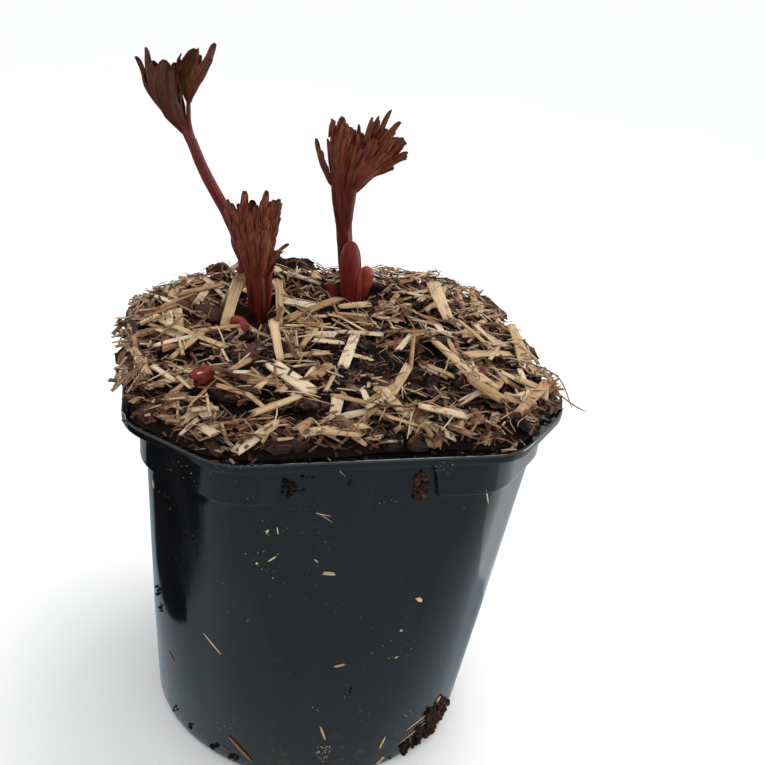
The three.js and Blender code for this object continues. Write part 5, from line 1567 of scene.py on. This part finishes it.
def bed_material(name, dark, brown, pale):
    s = Shade(name, Roughness=0.95)
    place = s.values("grain")[3]
    lumps = s.noise(place, 0.28, 5.0, 0.7)
    fine = s.noise(place, 1.5, 5.0, 0.7)
    threads = s.cells(s.scaled(place, (0.5, 1.0, 1.0)), 0.9)
    s.shader.inputs["Specular IOR Level"].default_value = 0.15
    base = s.ramp(lumps, [(0.3, dark), (0.5, brown), (0.75, dark)])
    base = s.tint(base, pale, 0.7, fine, 0.58, 0.66)
    base = s.tint(base, srgb(9, 7, 6), 0.8, fine, 0.48, 0.38)
    normal = s.bump(fine, 0.9, 0.001)
    normal = s.bump(threads, 0.4, 0.0006, normal)
    return s.done(base, None, normal)


def crumb_material():
    s = Shade("crumbs", Roughness=0.9)
    tone = s.values("look")[0]
    grain = s.values("grain")[3]
    fine = s.noise(grain, 1.6, 4.0, 0.7)
    s.shader.inputs["Specular IOR Level"].default_value = 0.15
    base = s.ramp(tone, [(0.0, srgb(14, 11, 10)), (0.5, srgb(30, 21, 17)), (0.8, srgb(54, 33, 25)),
                         (1.0, srgb(84, 52, 36))])
    base = s.tint(base, srgb(74, 50, 36), 0.3, fine, 0.5, 0.7)
    return s.done(base, None, s.bump(fine, 0.6, 0.0005))


def soil_material():
    s = Shade("potting_soil", Roughness=0.95)
    place = s.place()
    lumps = s.noise(place, 170.0, 6.0, 0.7)
    fine = s.noise(place, 900.0, 5.0, 0.7)
    base = s.ramp(lumps, [(0.3, srgb(18, 14, 13)), (0.55, srgb(40, 29, 24)), (0.75, srgb(66, 46, 34))])
    base = s.tint(base, srgb(120, 96, 70), 0.5, fine, 0.6, 0.72)
    normal = s.bump(lumps, 0.8, 0.002)
    return s.done(base, None, s.bump(fine, 0.6, 0.0006, normal))


def root_material():
    s = Shade("rootstock", Roughness=0.75)
    place = s.place()
    bark = s.noise(s.scaled(place, (1.0, 1.0, 0.3)), 220.0, 5.0, 0.65)
    rings = s.noise(s.scaled(place, (0.3, 0.3, 1.0)), 500.0, 3.0, 0.5)
    base = s.ramp(bark, [(0.3, srgb(92, 62, 42)), (0.55, srgb(142, 104, 70)), (0.75, srgb(172, 134, 96))])
    base = s.tint(base, srgb(74, 48, 34), 0.5, rings, 0.58, 0.7)
    normal = s.bump(bark, 0.5, 0.0012)
    return s.done(base, None, s.bump(rings, 0.4, 0.0006, normal))


def dress(node, material):
    """A CAD node that stays gets its own node material."""
    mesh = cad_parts[node].data
    mesh.materials.clear()
    mesh.materials.append(material)


# Light, floor and camera

def make_floor():
    s = Shade("pale_floor", Roughness=0.7)
    place = s.place()
    base = s.mix(s.noise(place, 3.0, 3.0), srgb(244, 244, 243), srgb(247, 247, 247))
    s.done(base)
    work = bmesh.new()
    bmesh.ops.create_grid(work, x_segments=8, y_segments=8, size=40.0)
    mesh = bpy.data.meshes.new("floor")
    work.to_mesh(mesh)
    work.free()
    mesh.materials.append(s.material)
    floor = bpy.data.objects.new("floor", mesh)
    bpy.context.scene.collection.objects.link(floor)


# Outlines of what the pot's gloss mirrors, in millimetres. The first three lie flat and the last one stands.
GREY_CARD = ((-900, -1200), (900, -1200), (900, 900), (-900, 900))
DARK_CARD = ((-146, -50), (-141, -6), (-141, 29), (-152, 71), (-183, 99), (-230, 112), (-600, 260), (-600, -120),
             (-362, -95), (-248, -68), (-196, -66), (-170, -59))
BRIGHT_CARD = ((341, -231), (249, -144), (237, -99), (220, -58), (196, -17), (168, 0), (136, 20), (136, 90),
               (200, 250), (880, 400), (880, -500))
BACK_CARD = ((-1500, 1200, 5), (260, 1200, 5), (260, 1200, 1900), (-1500, 1200, 1900))

# Each card's name, corners, glow and height over the floor. Grey lies all round, dark on the left and bright
# on the right. The one behind keeps the lip's top dark.
CARDS = (("grey_card", GREY_CARD, (0.37, 0.44, 0.48), 1),
         ("dark_card", DARK_CARD, (0.02, 0.02, 0.025), 3),
         ("bright_card", BRIGHT_CARD, (0.79, 0.83, 0.86), 3),
         ("back_card", BACK_CARD, (0.30, 0.33, 0.35), None))

# Each lamp's place, target, size, power and colour
LAMPS = (("key", (0.25, 0.2, 1.2), (0.0, 0.0, 0.2), 0.5, 5.0, (1.0, 0.98, 0.95)),
         ("side", (1.2, -0.1, 0.3), (0.0, 0.0, 0.1), 0.5, 6.0, (1.0, 1.0, 1.0)))
SKY_COLOUR = (0.98, 0.99, 1.0, 1.0)
SKY_STRENGTH = 1.08


def make_card(name, corners, glow, height):
    """A card that shows in gloss alone. Its corners are flat ones where a height is given, else whole points."""
    work = bmesh.new()
    if height:
        spots = [(x * MM, y * MM, height * MM) for x, y in corners]
    else:
        spots = [np.array(corner) * MM for corner in corners]
    work.faces.new([work.verts.new(spot) for spot in spots])
    mesh = bpy.data.meshes.new(name)
    work.to_mesh(mesh)
    work.free()
    s = Shade(name, Roughness=1.0)
    s.shader.inputs["Specular IOR Level"].default_value = 0.0
    s.shader.inputs["Emission Color"].default_value = (*glow, 1.0)
    s.shader.inputs["Emission Strength"].default_value = 1.0
    mesh.materials.append(s.done((0.0, 0.0, 0.0, 1.0)))
    card = bpy.data.objects.new(name, mesh)
    card.visible_camera = card.visible_diffuse = card.visible_shadow = False
    bpy.context.scene.collection.objects.link(card)


def make_light():
    world = bpy.data.worlds.new("studio")
    bpy.context.scene.world = world
    world.use_nodes = True
    background = world.node_tree.nodes["Background"]
    background.inputs["Color"].default_value = SKY_COLOUR
    background.inputs["Strength"].default_value = SKY_STRENGTH
    for name, place, target, size, power, tint in LAMPS:
        data = bpy.data.lights.new(name, "AREA")
        data.size, data.energy, data.color = size, power, tint
        lamp = bpy.data.objects.new(name, data)
        lamp.location = place
        lamp.rotation_mode = "QUATERNION"
        lamp.rotation_quaternion = (Vector(target) - Vector(place)).to_track_quat("-Z", "Y")
        bpy.context.scene.collection.objects.link(lamp)
    for card in CARDS:
        make_card(*card)
    bpy.context.scene.view_settings.view_transform = "Standard"


make_camera()
make_floor()
make_light()
pot = make_pot()
stem_look, leaf_look = stem_material(), leaf_material()
make_tall(stem_look, leaf_look)
make_low(stem_look, leaf_look)
make_right(stem_look, leaf_look)
make_buds()

heap = Heap()
straw_look, bark_look, crumb_look = straw_material(), bark_material(), crumb_material()
# The bed is near black: dark soil, and painted shade where it shows in the gaps between the loose pieces
make("mulch_bed", make_bed(), bed_material("mulch_bed", srgb(12, 9, 8), srgb(26, 18, 14), srgb(74, 48, 34)),
     ["bark_mulch"], 70.0)
make("bark_chips", lay_bark(heap), bark_look, ["bark_mulch"], 35.0)
make("dark_crumbs", lay_crumbs(heap, 2200, 54, (0.5, 1.7), False), crumb_look, ["bark_mulch"], 60.0)
large, small, litter = lay_straw(heap)
make("straw_chips", large, straw_look, ["straw_mulch"], 40.0)
make("straw_shreds", small, straw_look, ["straw_mulch"], 40.0)
make("straw_litter", litter, straw_look, ["straw_mulch"], 40.0)
fibres, threads = lay_fibres(heap)
make("straw_fibres", fibres, straw_look, ["straw_mulch"], 60.0)
make("fine_threads", threads, straw_look, ["straw_mulch"], 60.0)
make("top_crumbs", lay_crumbs(heap, 1200, 55, (0.4, 1.3), True), crumb_look, ["bark_mulch"], 60.0)
clods, bits = lay_dirt(pot)
make("pot_clods", clods, crumb_look, [], 50.0)
make("pot_bits", bits, straw_look, [], 40.0)
dress("potting_soil", soil_material())
dress("rootstock", root_material())
